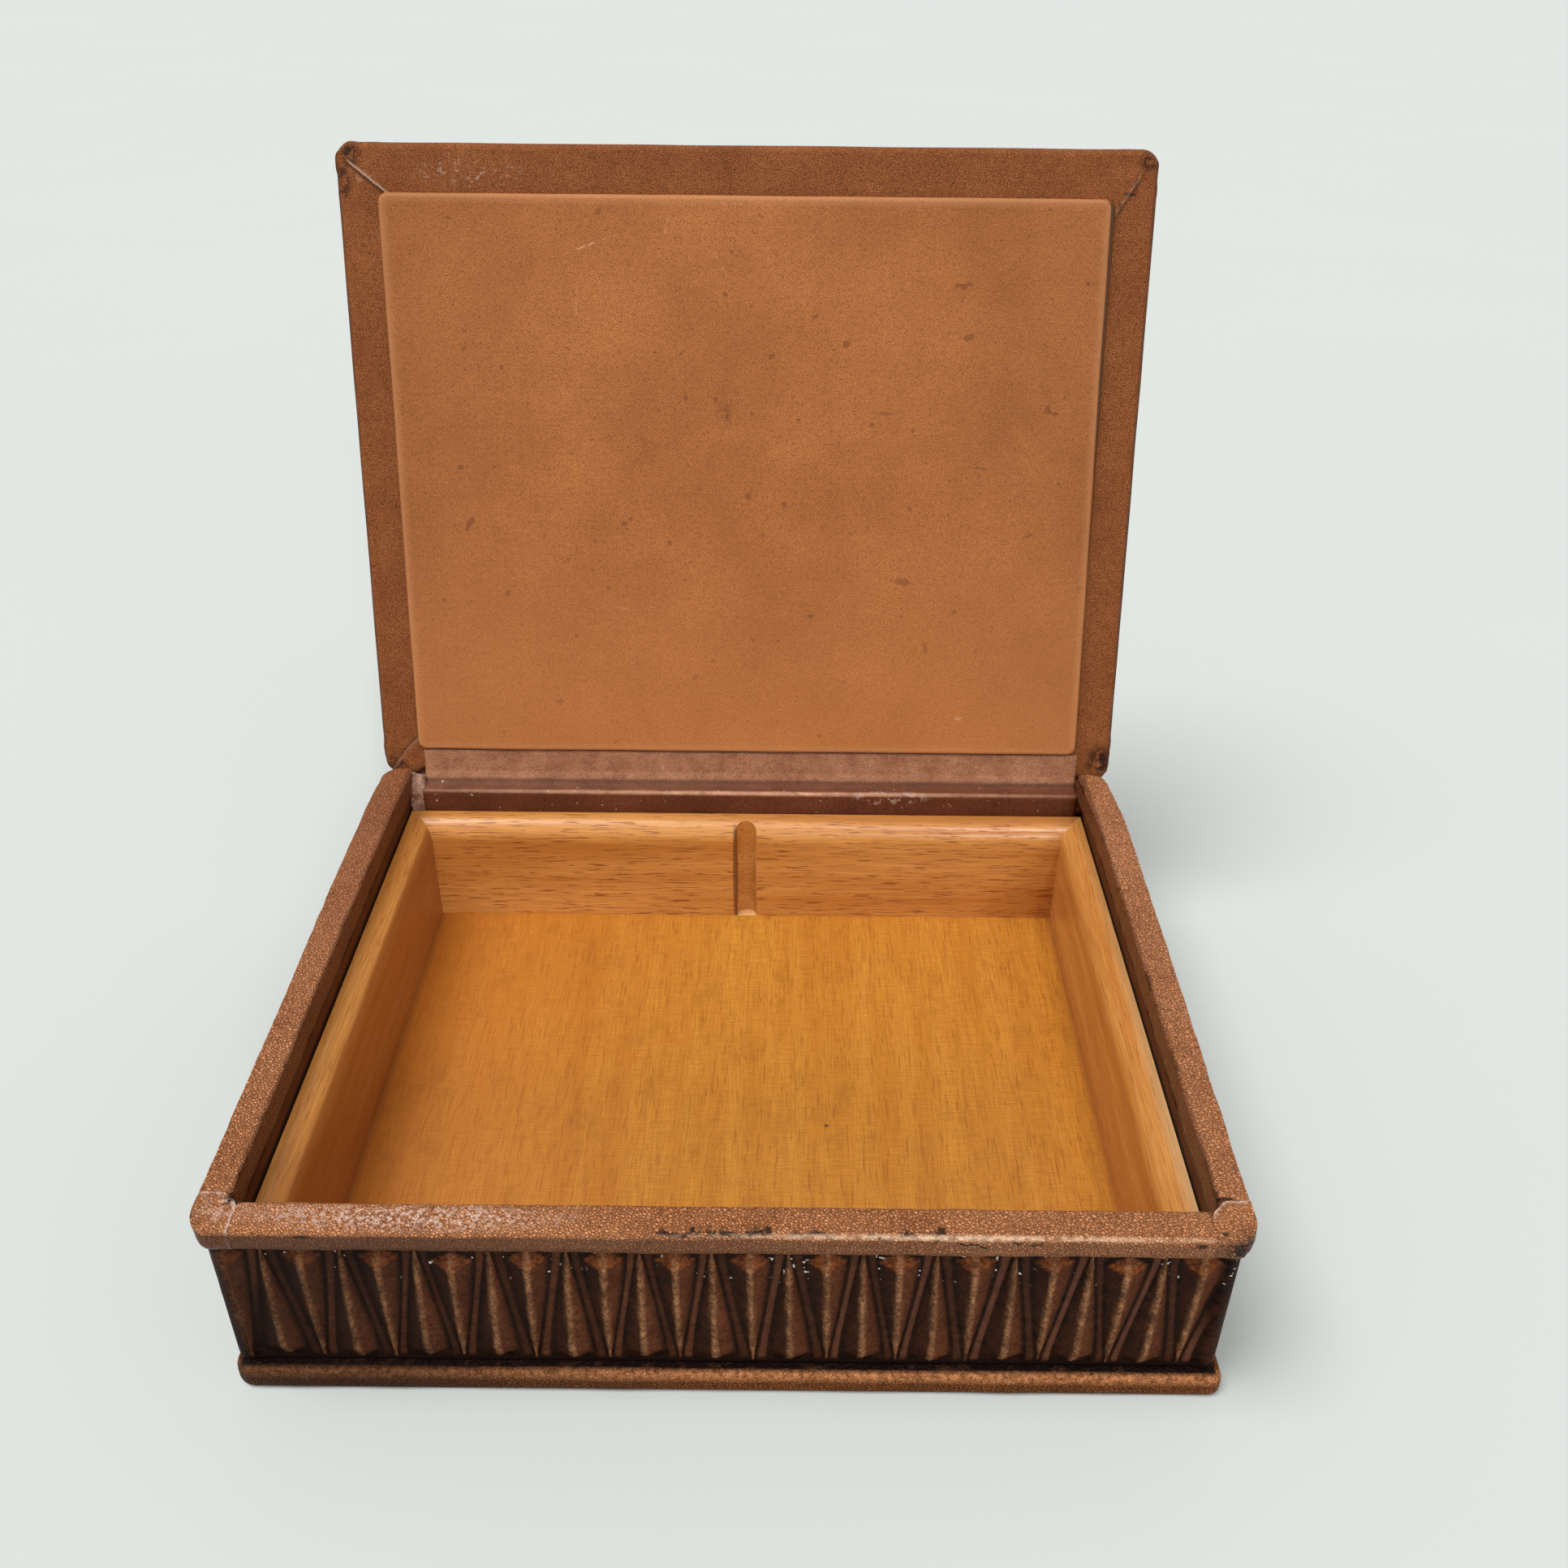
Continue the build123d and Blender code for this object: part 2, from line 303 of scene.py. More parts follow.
def piece(name, shape, material, stands_for, body="box"):
    """Make a shape a smooth shaded piece that rides on a body in place of its nodes."""
    made = laid(name, shape, material)
    made.data.shade_smooth()
    if body:
        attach(made, body)
    if stands_for:
        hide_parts(*stands_for)
    return made


BASE_REAR_CORNER = 2.6
BASE_FRONT_CORNER = 4.2
BASE_TOP_ROUND = 1.9
BASE_FOOT_ROUND = 1.7
BASE_SLICE = 2.5
# Black of the wax, also used as painted shade.
WAX_AND_SHADE_BLACK = (0.012, 0.006, 0.005)

base_leather, shader, place, colour = leather(
    "base_leather", (0.15, 0.043, 0.009), (0.275, 0.086, 0.019), 0.62, 0.45, 0.36, 0.035,
    crease_dye_and_shade=0.9, lean=radians(-50), long=2.4, sanding_and_highlight=0.3)
x, y, z = axes(place)
in_front = ramp(y, -78, -79.5)
# A painted highlight along the front top edge of the base, which is also worn pale there.
crest_highlight = product(in_front, ramp(z, 3.4, 5.3, 0, 0.9),
                between(clouds(place, 1000, 3), 0.36, 0.58, 0.25, 1))
colour = tint(crest_highlight, colour, (0.66, 0.275, 0.115))
# Painted shade over the front of the base, deeper towards the left.
colour = tint(product(in_front, ramp(x, 0, -70, 0, 0.74)), colour, WAX_AND_SHADE_BLACK)
# Painted shade on the top of the base inside its outer edge, where the body stands on it.
painted_shade_on_top = product(marked(place, "inner"), between(clouds(place, 350, 4), 0.3, 0.5, 0.85, 1))
paint(shader, tint(painted_shade_on_top, colour, WAX_AND_SHADE_BLACK))

low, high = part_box("base_leather")
low -= Vector((0.4, 0.5, 0)) * mm
high += Vector((0.8, 0, 0)) * mm
shape = slab(low, high)
round_edges(shape, BASE_REAR_CORNER, lambda a, b: upright(a, b) and max(a.x, a.y) > 0)
round_edges(shape, BASE_FRONT_CORNER, lambda a, b: upright(a, b) and max(a.x, a.y) < low.y + mm)
round_edges(shape, BASE_TOP_ROUND, at_height(high.z))
round_edges(shape, BASE_FOOT_ROUND, at_height(low.z))
slices(shape, 0, BASE_SLICE)
slices(shape, 1, BASE_SLICE)
# Marks the top inside the outer edge, where the painted shade lies.
inner = shape.verts.layers.float.new("inner")
for vert in shape.verts:
    inset = min(vert.co.x - low.x, high.x - vert.co.x, vert.co.y - low.y, high.y - vert.co.y)
    vert[inner] = ease(inset, 0.9 * mm, 1.7 * mm) if vert.co.z > 5 * mm else 0
unevenness(shape, 0.35, 16, 3, lambda point: point.z < mm)
piece("base_cover", shape, base_leather, ["base_leather"])


# Body leather: one strip of dark leather round the front and sides and a
# panel on the back, pressed over tools into rows of long kites, rubbed with
# black wax and polished back to tan on the ridges and caps.
# Painted shade darkens the left faces of the kites, the left of the box, and the strips under the rim and
# above the base; a painted light grows towards the right on the caps and bands.
KITE_STEP = 7.285 * mm
KITE_FIRST = -82.2 * mm
KITE_HALF_WIDTH = 4.15 * mm
KITE_SHOULDER = 2.5 * mm
KITE_PEAK = 4.6 * mm
KITE_DEPTH = 1.9 * mm
KITE_LOW = 7.2 * mm
KITE_MIDDLE = 24 * mm
KITE_HIGH = 40.4 * mm
KITE_TIP = 0.3 * mm
FACET_STEPS = (0, 0.08, 0.25, 0.5, 0.75, 1)
BAND_STEPS = (0.16, 0.32, 0.5, 0.68, 0.84)
BAND_HEIGHTS = (-0.26 * mm, 0.16 * mm, 0.24 * mm, 0.16 * mm, -0.26 * mm)
RIDGE_WEAR = 0.95 * mm
VALLEY = 0.4 * mm
CORNER_ROUND = mm
CORNER_TURN = 2 * mm * pi / 2
CORNER_FILL = 1.75 * mm
END_FILL = 1.3 * mm


def kite(index, first, last):
    """Where a kite stands at mid height, its lean, its ends and its depth, each a little off by hand."""
    middle = KITE_FIRST + index * KITE_STEP
    lean = 0
    if first < index < last:
        middle += 0.28 * mm * sin(index * 7.3)
        lean = 0.022 * sin(index * 12.9)
    low = KITE_LOW + 0.4 * mm * sin(index * 5.1)
    high = KITE_HIGH - 0.45 * mm * sin(index * 3.3) - (mm if index % 9 == 4 else 0)
    return middle, lean, low, high, KITE_DEPTH * (1 + 0.14 * sin(index * 9.7))


def half_width(along, length):
    """Half the width of a kite at a distance from its wide end."""
    run = min(1, max(0, (along - KITE_SHOULDER) / (length - KITE_SHOULDER)))
    return max(KITE_TIP, KITE_HALF_WIDTH * (1 - run ** 1.25))


def facet(across, along, length, depth):
    """Height of a kite's faces at a place, and whether it is on the cap at the wide end."""
    if along < 0 or along > length:
        return 0, 0
    fall = 1 - 0.55 * max(0, (along - KITE_PEAK) / (length - KITE_PEAK)) ** 1.5
    tail = fall * (1 - across / half_width(along, length))
    cap = (along - across * KITE_SHOULDER / KITE_HALF_WIDTH) / KITE_PEAK
    height = depth * max(0, min(tail, cap)) * min(1, (length - along) / (1.5 * mm))
    return height, 1 if cap < tail and cap > 0.02 else 0


def pressed_row(first, last, z):
    """One row of the pressed strip: way along, height, and wear, wax and painted shade of each point, from
    kite to kite.
    """
    row = []
    worked = ease(z, 6.8 * mm, 8.5 * mm) * (1 - ease(z, 39 * mm, 40.6 * mm))
    corner = straight + CORNER_TURN / 2
    for index in range(first, last + 1):
        middle, lean, low, high, depth = kite(index, first, last)
        middle += lean * (z - KITE_MIDDLE)
        down = index % 2 == 0
        along = high - z if down else z - low
        width = half_width(along, high - low)
        sides = {}
        for side in (-1, 1):
            sides[side] = []
            for step in FACET_STEPS:
                height, cap = facet(width * step, along, high - low, depth)
                raised = min(1, height / (0.15 * mm))
                ridge = raised * (1 - ease(width * step, 0.15 * mm, RIDGE_WEAR))
                # Black wax in the valleys, and painted shade on the left faces of the kites, which stay
                # darker than the right ones.
                wax_and_left_shade = 1 - raised * (0.88 if side > 0 else 0.16) * (1 - 0.5 * step ** 3)
                wear = (ridge, cap * raised if down else 0, wax_and_left_shade, 0)
                sides[side].append((middle + side * width * step, height, wear))
        if row:
            start = row[-1][0]
            gap = sides[-1][-1][0] - start
            for step, height in zip(BAND_STEPS, BAND_HEIGHTS):
                flat = ease(abs(abs(start) - corner), 3 * mm, 6 * mm) if height > 0 else 0
                flat *= worked * (0.45 if down else 1)
                row.append((start + gap * step, height * worked, (0, 0, 1 - flat * 0.7, flat)))
            row += reversed(sides[-1][1:])
        row.append(sides[-1][0])
        if index < last:
            row += sides[1][1:]
    return row


def close_up(shape):
    bmesh.ops.holes_fill(shape, edges=[edge for edge in shape.edges if edge.is_boundary], sides=0)


def pressed_strip(first, last, heights, wall, fill):
    """A pressed strip with a flat back. wall gives the place and outward direction at a way along."""
    rows = [pressed_row(first, last, z) for z in heights]
    backs = [[(way, -VALLEY, (0, 0, 1, 0)) for way, *_ in row] for row in (rows[0], rows[-1])]
    rows = [backs[0]] + rows + [backs[1]]
    heights = [heights[0]] + heights + [heights[-1]]
    shape = bmesh.new()
    bmesh.ops.create_grid(shape, x_segments=len(rows[0]) - 1, y_segments=len(rows) - 1, size=0.5)
    # Each point keeps its ridge wear, its cap, its wax and painted shade, and its band.
    wear_wax_and_shade = shape.verts.layers.float_color.new("wear_wax_and_shade")
    ends = ([], [])
    for vert in shape.verts:
        column = round((vert.co.x + 0.5) * (len(rows[0]) - 1))
        line = round((vert.co.y + 0.5) * (len(rows) - 1))
        way, height, wear = rows[line][column]
        if height > -VALLEY:
            height = fill(way, heights[line], height)
        spot, out = wall(way)
        spot = spot + out * height
        vert.co = (spot.x, spot.y, heights[line])
        vert[wear_wax_and_shade] = wear
        if line in (0, len(rows) - 1):
            ends[line > 0].append(vert)
    backs = [edge for edge in shape.edges
             if any(edge.verts[0] in end and edge.verts[1] in end for end in map(set, ends))]
    bmesh.ops.bridge_loops(shape, edges=backs)
    close_up(shape)
    bmesh.ops.recalc_face_normals(shape, faces=shape.faces)
    return shape


board_low, board_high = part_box("front_board")
valley_side = board_high.x + VALLEY
valley_front = board_low.y - VALLEY
valley_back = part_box("back_leather")[0].y + VALLEY
straight = valley_side - CORNER_ROUND
side_end = straight + CORNER_TURN + valley_back - VALLEY - valley_front - CORNER_ROUND


def round_the_box(way):
    """Place and outward direction on the front and side walls, at a way along from the front's middle."""
    side = -1 if way < 0 else 1
    way = abs(way)
    turn = min(1, max(0, (way - straight) / CORNER_TURN)) * pi / 2
    out = Vector((side * sin(turn), -cos(turn)))
    spot = Vector((side * min(way, straight), valley_front + CORNER_ROUND)) + out * CORNER_ROUND
    spot.y += max(0, way - straight - CORNER_TURN) * side_stretch
    return spot, out


def across_the_back(way):
    return Vector((-way * back_stretch, valley_back)), Vector((0, 1))


def wrap_fill(way, z, height):
    """Keep the leather thick over the corners of the boards and even at its two ends."""
    corner = 1 - ease(abs(abs(way) - straight - CORNER_TURN / 2), 1.3 * mm, 3.2 * mm)
    end = 1 - ease(side_end - abs(way), 0.2 * mm, 2.5 * mm)
    corner *= 0.4 + 0.6 * ease(z, foot, foot + 3 * mm)
    return max(height, CORNER_FILL * corner) * (1 - end) + END_FILL * end


def back_fill(way, z, height):
    """Press the leather flat at the two ends and under the spine strip."""
    end = 1 - ease(back_end - abs(way), 0.2 * mm, 2.5 * mm)
    flat = max(ease(z, spine_foot - 1.5 * mm, spine_foot), end)
    return height * (1 - flat) + (spine_inside - valley_back) * flat


def evenly(start, step, count):
    """Places a step apart from a start, both in mm."""
    return [(start + step * row) * mm for row in range(count)]


spine_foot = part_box("spine_wall")[0].z
spine_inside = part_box("spine_wall")[0].y
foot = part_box("base_leather")[1].z
rim_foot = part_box("front_rim_leather")[0].z
heights = [foot, foot + 0.7 * mm] + evenly(7.1, 0.5, 12) + evenly(13.6, 1.2, 17)
heights += evenly(33.6, 0.45, 18) + [rim_foot, board_high.z]
first, last = -24, 46
turned = straight + CORNER_TURN
side_stretch = (side_end - turned) / (KITE_FIRST + last * KITE_STEP - turned)
shape = pressed_strip(first, last, heights, round_the_box, wrap_fill)


def spread(share, start, end):
    """A share of 0 to 1 as a value between two others."""
    return between(share, 0, 1, start, end)


body_leather, shader, place = begin("body_leather", 0.5, 0.035)
wear_wax_and_shade = add(place, "Attribute", attribute_name="wear_wax_and_shade")
ridge, cap, wax_and_left_shade = add(place, "SeparateColor", {"Color": wear_wax_and_shade.outputs["Color"]}).outputs
x, y, z = axes(place)
grain = clouds(place, 1400, 3)
patches = between(clouds(place, 420, 5, 0.7), 0.36, 0.62)
speckle = between(clouds(place, 1300, 4, 0.75), 0.38, 0.62)
broad = between(clouds(place, 80, 6, 0.7), 0.3, 0.7)
colour = tint(broad, (0.095, 0.028, 0.011), (0.205, 0.064, 0.026))
colour = tint(product(speckle, 0.6), colour, (0.022, 0.008, 0.005))
# Painted shade over the left of the box, which also dims the worn ridges there.
left_shade = ramp(x, -20, -80)
colour = tint(product(left_shade, 0.48), colour, WAX_AND_SHADE_BLACK)
# Painted light on the pale bands between the kites, stronger towards the right.
lit_bands = product(wear_wax_and_shade.outputs["Alpha"], ramp(x, -40, 60, 0.05, 0.6))
colour = tint(product(lit_bands, spread(patches, 0.35, 1)), colour, (0.165, 0.072, 0.048))
# Black wax in the valleys and painted shade on the left faces of the kites.
colour = tint(product(wax_and_left_shade, spread(patches, 1, 0.82)), colour, (0.006, 0.003, 0.002))
# Painted shade at the left front corner; the tan polished caps carry a painted light that grows towards the
# right.
corner_shade = ramp(x, -98, -90, 0.3, 1)
worn = product(cap, ramp(x, -80, 0, 0.45, 1), spread(patches, 0.35, 1), corner_shade)
colour = tint(worn, colour, tint(speckle, (0.31, 0.088, 0.025), (0.09, 0.025, 0.009)))
# Tan polished ridges, dimmed by the painted shade at the left and at the corner.
uneven = between(clouds(place, 130, 3), 0.35, 0.6, 0.45, 1)
worn = product(ridge, spread(patches, 0.4, 1), corner_shade, uneven, spread(left_shade, 1, 0.5))
colour = tint(worn, colour, tint(speckle, (0.5, 0.245, 0.115), (0.17, 0.066, 0.029)))
specks = product(between(wax_and_left_shade, 0.9, 1), ramp(z, 30, 34), between(clouds(place, 800, 1, 0.4), 0.7, 0.72))
colour = tint(specks, colour, (0.62, 0.58, 0.54))
# Black wax and painted shade in the strips under the rim and above the base.
wax_and_shade_under_rim = ramp(z, 40.6, 41.4, 0, 0.8)
wax_and_shade_above_base = ramp(z, 7.4, 6.7, 0, 0.95)
colour = tint(maths("MAXIMUM", wax_and_shade_under_rim, wax_and_shade_above_base), colour, WAX_AND_SHADE_BLACK)
paint(shader, colour)
feed(shader, "Roughness", spread(patches, 0.38, 0.6))
bump(shader, maths("ADD", grain, product(pebbles(place, 0.45), 0.5)), 0.12)
wrapped = ["front_leather", "left_leather", "right_leather"]
piece("body_wrap", shape, body_leather, wrapped)

first, last = 0, 28
KITE_FIRST = -last * KITE_STEP / 2
back_end = last * KITE_STEP / 2
back_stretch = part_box("back_leather")[1].x / back_end
heights[-1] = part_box("back_leather")[1].z
shape = pressed_strip(first, last, heights, across_the_back, back_fill)
piece("back_panel", shape, body_leather, ["back_leather"])


# Rim: thick pebbled leather stretched over a wooden strip on the front and
# each side, crisp along its upper edge, with a square patch folded over each
# front corner. The caps are pressed down to stay clear of the shut lid.
RIM_CREST = 1.5
RIM_INSIDE = 1.3
RIM_UNDER = 2.6
RIM_TAPER = 1.3 * mm
RIM_OUTSIDE = 97.5 * mm
RIM_END = 1.6
RIM_END_OUTER = 4.6
RIM_SLICE = 1.2
REAR_SHIFT = {-1: 0.6 * mm, 1: 1.4 * mm}
CORE_CUT = 3.4 * mm
CORE_END = 70 * mm
CAP_REACH = 9.6 * mm
CAP_LAP = 0.3 * mm
CAP_CORNER = 5.5
CAP_EDGES = 93.2 * mm
CAP_SLICE = 0.42
CAP_LEVEL = 49 * mm
CAP_RISE = 0.55 * mm
SEAM_EDGE = 0.7 * mm
SEAM_FRONT = -77 * mm
# Pale of scuffs and of painted glints on the pebbles.
SCUFF_AND_GLINT_PALE = (0.72, 0.5, 0.41)
RIM_CRACKS = ((25, 52, 48.9, 0.5), (38, 61, 47.6, 1.6), (-16, 24, 49, 0.3))
RIM_MARKS = (
    ((-79.3, -82.2, 47.9), (2.6, 1, 0.5), WAX_AND_SHADE_BLACK, 500, 0.4, 0.45, 0.9),
    ((90, -82.2, 47.7), (1.5, 1.2, 0.8), WAX_AND_SHADE_BLACK, 700, 0.35, 0.45, 0.9),
    ((98.8, -82, 46.4), (6.6, 6, 4.2), WAX_AND_SHADE_BLACK, 1100, 0.34, 0.52, 0.97),
    ((-101.3, -80.5, 47.4), (3.6, 6, 3.8), WAX_AND_SHADE_BLACK, 800, 0.36, 0.6, 0.75),
    # Painted shade in the small hole where the left cap meets the rim, and in the gap behind the right cap.
    ((-94.8, -74.9, 49.6), (1.5, 1.5, 1.2), WAX_AND_SHADE_BLACK, 600, 0.25, 0.4, 0.9),
    ((96.6, -72.2, 49.2), (2.4, 0.7, 1.2), WAX_AND_SHADE_BLACK, 600, 0.2, 0.35, 0.9),
    ((94.4, -80.9, 49.2), (0.9, 0.7, 0.8), WAX_AND_SHADE_BLACK, 600, 0.2, 0.4, 0.9),
    # Pale scuffs with painted glints over the left of the front rim and over the left cap.
    ((-60, -78.5, 49.3), (36, 4, 1.8), SCUFF_AND_GLINT_PALE, 1100, 0.48, 0.58, 0.85),
    ((-95.5, -76, 49.5), (6.5, 5, 1.5), SCUFF_AND_GLINT_PALE, 700, 0.48, 0.62, 0.7))


def blot(place, centre, reach, edge=0.4):
    """1 round a centre, fading to nothing at a reach along each axis, both in mm."""
    centre, reach = (tuple(part * mm for part in spot) for spot in (centre, reach))
    away = add(place, "VectorMath", {0: place, 1: centre}, operation="SUBTRACT").outputs["Vector"]
    share = add(place, "VectorMath", {0: away, 1: reach}, operation="DIVIDE").outputs["Vector"]
    return between(add(place, "VectorMath", {0: share}, operation="LENGTH").outputs["Value"], 1, edge)


def wear_and_light_marks(place, colour, marks):
    """Broken patches over a colour, of wear, stains, painted shade and painted highlight: centre, reach,
    shade, scale, two limits of the noise, amount.
    """
    for centre, reach, shade, scale, low, high, amount in marks:
        broken = between(clouds(place, scale, 5, 0.7), low, high, 0, amount)
        colour = tint(product(blot(place, centre, reach), broken), colour, shade)
    return colour


rim_leather, shader, place, colour = leather(
    "rim_leather", (0.315, 0.112, 0.04), (0.52, 0.213, 0.087), 0.52, 0.28, 0.28, 0.09,
    crease_dye_and_shade=0.8, lean=radians(38), long=1.7, sanding_and_highlight=0.8)
x, y, z = axes(place)
frayed = product(marked(place, "seam"), between(clouds(place, 700, 4, 0.7), 0.35, 0.55))
colour = tint(frayed, colour, (0.72, 0.5, 0.38))
# Painted shade on the front face of the rim below its upper edge, deeper towards the left.
face = product(ramp(z, 48.5, 47.9), ramp(y, -80.8, -81.6), ramp(x, -70, 50, 0.8, 0.32))
colour = tint(face, colour, (0.06, 0.019, 0.008))
inside = product(ramp(maths("ABSOLUTE", x), 95.9, 95.1), ramp(y, -74.4, -74), 0.62)
colour = tint(inside, colour, (0.085, 0.026, 0.011))
rear = product(ramp(x, -94, -95), ramp(y, -30, 60, 0, 0.45))
colour = tint(rear, colour, (0.17, 0.046, 0.016))
# Painted shade on the underside of the rim.
colour = tint(ramp(z, 44, 43.2, 0, 0.6), colour, WAX_AND_SHADE_BLACK)
for start, end, height, wave in RIM_CRACKS:
    line = clouds(placed(place, (1, 0, 0)), 210, 3, 0.5)
    level = between(line, 0.3, 0.7, (height - wave) * mm, (height + wave) * mm)
    off = maths("ABSOLUTE", maths("SUBTRACT", z, level))
    crack = product(ramp(off, 0.36, 0.18), between(clouds(place, 330, 3), 0.41, 0.47),
                    blot(place, ((start + end) / 2, -82, 48), ((end - start) / 2, 2.6, 6), 0.8), 0.9)
    colour = tint(crack, colour, WAX_AND_SHADE_BLACK)
# A painted highlight along the upper front edge of the rim, with some wear in it.
crest_highlight = product(blot(place, (45, -81.9, 48.85), (64, 0.9, 0.7), 0.2),
                between(clouds(place, 700, 3), 0.34, 0.56, 0.15, 0.95))
colour = tint(crest_highlight, colour, (0.84, 0.55, 0.36))
paint(shader, wear_and_light_marks(place, colour, RIM_MARKS))


def runs(axis):
    return lambda a, b: abs((a - b)[axis]) > 0.9 * (a - b).length


def draw_in(shape):
    """Draw the outer side of a side rim in towards the front corner, and its rear end inwards."""
    for vert in shape.verts:
        side = 1 if vert.co.x > 0 else -1
        if abs(vert.co.x) > RIM_OUTSIDE:
            share = 1 - ease(vert.co.y, -80 * mm, 60 * mm)
            outside = (abs(vert.co.x) - RIM_OUTSIDE) / (5 * mm)
            vert.co.x -= RIM_TAPER * share * outside * side
        vert.co.x -= REAR_SHIFT[side] * ease(vert.co.y, 55 * mm, 81 * mm) * side


def rim_bar(node, axis):
    """A rim piece with its edges rounded, cut fine enough to lie uneven."""
    low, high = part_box(node)
    shape = slab(low, high)
    across = 1 - axis
    outside = low[across] if abs(low[across]) > abs(high[across]) else high[across]
    inside = low[across] + high[across] - outside

    def edge(place, z):
        return lambda a, b: (
            runs(axis)(a, b) and abs(a[across] - place) < 0.5 * mm and abs(a.z - z) < 0.5 * mm)

    def rear(place):
        return lambda a, b: upright(a, b) and a.y > 0 and abs(a.x - place) < mm

    def upper(a, b):
        """The upper edges of a side piece, but for the inner one and the front end."""
        inner = max(abs(a.x - inside), abs(b.x - inside)) < 0.1 * mm
        return at_height(high.z)(a, b) and not inner and a.y + b.y > -140 * mm

    if axis == 1:
        round_edges(shape, RIM_END_OUTER, rear(outside), 9)
        round_edges(shape, RIM_END, rear(inside))
    round_edges(shape, RIM_CREST, upper if axis == 1 else edge(outside, high.z))
    round_edges(shape, RIM_INSIDE, edge(inside, high.z))
    round_edges(shape, RIM_UNDER, edge(outside, low.z))
    slices(shape, axis, 0.9)
    slices(shape, across, RIM_SLICE)
    slices(shape, 2, RIM_SLICE)
    unevenness(shape, 0.22, 15, 1 + axis)
    unevenness(shape, 0.16, 3.2, 7 + axis)
    if axis == 1:
        draw_in(shape)
    return shape


def cut_off(shape, point, outward):
    """Take off what lies beyond a plane and close the cut."""
    cut(shape, point, outward, True)
    close_up(shape)


def rim_core(node, taper):
    """The wooden strip under a rim piece, with its front corners cut off for the caps."""
    shape = bmesh.new()
    shape.from_mesh(frame["nodes"][node].data)
    bmesh.ops.remove_doubles(shape, verts=shape.verts, dist=0.001 * mm)
    bmesh.ops.dissolve_limit(shape, angle_limit=radians(1), verts=shape.verts, edges=shape.edges)
    for side in (-1, 1):
        corner = Vector((side * core_side, core_front, 0))
        diagonal = Vector((side, -1, 0)).normalized()
        cut_off(shape, corner - diagonal * CORE_CUT / 2, diagonal)
        if taper:
            cut_off(shape, corner - Vector((side * RIM_TAPER, 0, 0)), Vector((side, -taper, 0)).normalized())
            cut_off(shape, Vector((0, CORE_END, 0)), Vector((0, 1, 0)))
    made = piece(node + "_strip", shape, board, [node])
    made.data.shade_flat()


def corner_cap(node, side):
    """The patch over a front corner, with a notch where the rim pieces meet and a frayed seam."""
    low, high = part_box(node)
    high.z += 0.3 * mm
    shape = slab(low, high)
    inner = Vector((side * (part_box("right_rim_leather")[0].x - CAP_LAP),
                    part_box("front_rim_leather")[1].y + CAP_LAP, 0))
    inward = Vector((-side, 1, 0)).normalized()
    cut_off(shape, inner, inward)
    outer = side * max(abs(low.x), abs(high.x))
    seam_side = outer - side * CAP_REACH
    near_corner = (CAP_CORNER + 0.1) * mm

    def corner(a, b):
        return upright(a, b) and abs(a.x - outer) < 0.1 * mm and a.y < low.y + mm

    def notch(a, b):
        return upright(a, b) and (a - inner).xy.dot(inward.xy) > -0.1 * mm

    def seam(a, b):
        at_back = abs(a.y - high.y) + abs(b.y - high.y)
        at_side = abs(a.x - seam_side) + abs(b.x - seam_side)
        return at_height(high.z)(a, b) and min(at_back, at_side) < 0.1 * mm

    def outside(level):
        """The edges of one level that run round the corner, and not the one along the seam."""
        return lambda a, b: (
            at_height(level)(a, b)
            and (max(a.y, b.y) < low.y + near_corner or min(abs(a.x), abs(b.x)) > abs(outer) - near_corner)
            and max(abs(a.y - high.y), abs(b.y - high.y)) > 0.5 * mm
            and max(abs(a.x), abs(b.x)) > CAP_EDGES)

    round_edges(shape, CAP_CORNER, corner, 10)
    round_edges(shape, 0.9, notch, 3)
    round_edges(shape, 0.35, seam, 2)
    round_edges(shape, 2, outside(high.z), 6)
    round_edges(shape, RIM_UNDER, outside(low.z), 6)
    slices(shape, 0, CAP_SLICE)
    slices(shape, 1, CAP_SLICE)
    slices(shape, 2, 1)
    frays = shape.verts.layers.float.new("seam")
    for vert in shape.verts:
        nearest = min(high.y - vert.co.y, -(vert.co - inner).xy.dot(inward.xy))
        if side < 0 or vert.co.y > SEAM_FRONT:
            nearest = min(nearest, abs(vert.co.x - seam_side))
        vert[frays] = 1 - ease(nearest, 0.1 * mm, SEAM_EDGE)
        if vert.co.z > high.z - 0.1 * mm:
            vert.co.z += 0.35 * mm * ease(nearest, 0, 3 * mm)
    unevenness(shape, 0.3, 3.4, 4 + side)
    unevenness(shape, 0.16, 1.1, 9 + side)
    for vert in shape.verts:
        over = max(0, vert.co.z - CAP_LEVEL)
        vert.co.z -= over - CAP_RISE * (1 - exp(-over / CAP_RISE))
    draw_in(shape)
    return shape


core_front, core_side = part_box("front_rim_core")[0].y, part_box("front_rim_core")[1].x
for node, taper in (("front_rim_core", 0), ("left_rim_core", 0.01), ("right_rim_core", 0.01)):
    rim_core(node, taper)

for node, axis in (("front_rim_leather", 0), ("left_rim_leather", 1), ("right_rim_leather", 1)):
    piece(node.replace("leather", "cover"), rim_bar(node, axis), rim_leather, [node])

for node, side in (("left_corner_patch", -1), ("right_corner_patch", 1)):
    piece(node.replace("patch", "cap"), corner_cap(node, side), rim_leather, [node])


# Thin dark leather that lines the boards between the rim and the tray, tucked
# in before the tray is glued down.
dark_leather, shader, place, colour = leather(
    "dark_leather", (0.095, 0.029, 0.012), (0.155, 0.048, 0.02), 0.5, 0.03, 0.5, 0.04)
# Painted shade at its foot, down in the gap beside the tray.
paint(shader, tint(ramp(axes(place)[2], 40.4, 39.4), colour, WAX_AND_SHADE_BLACK))
dress(("front_inner_leather", "left_inner_leather", "right_inner_leather"), dark_leather)


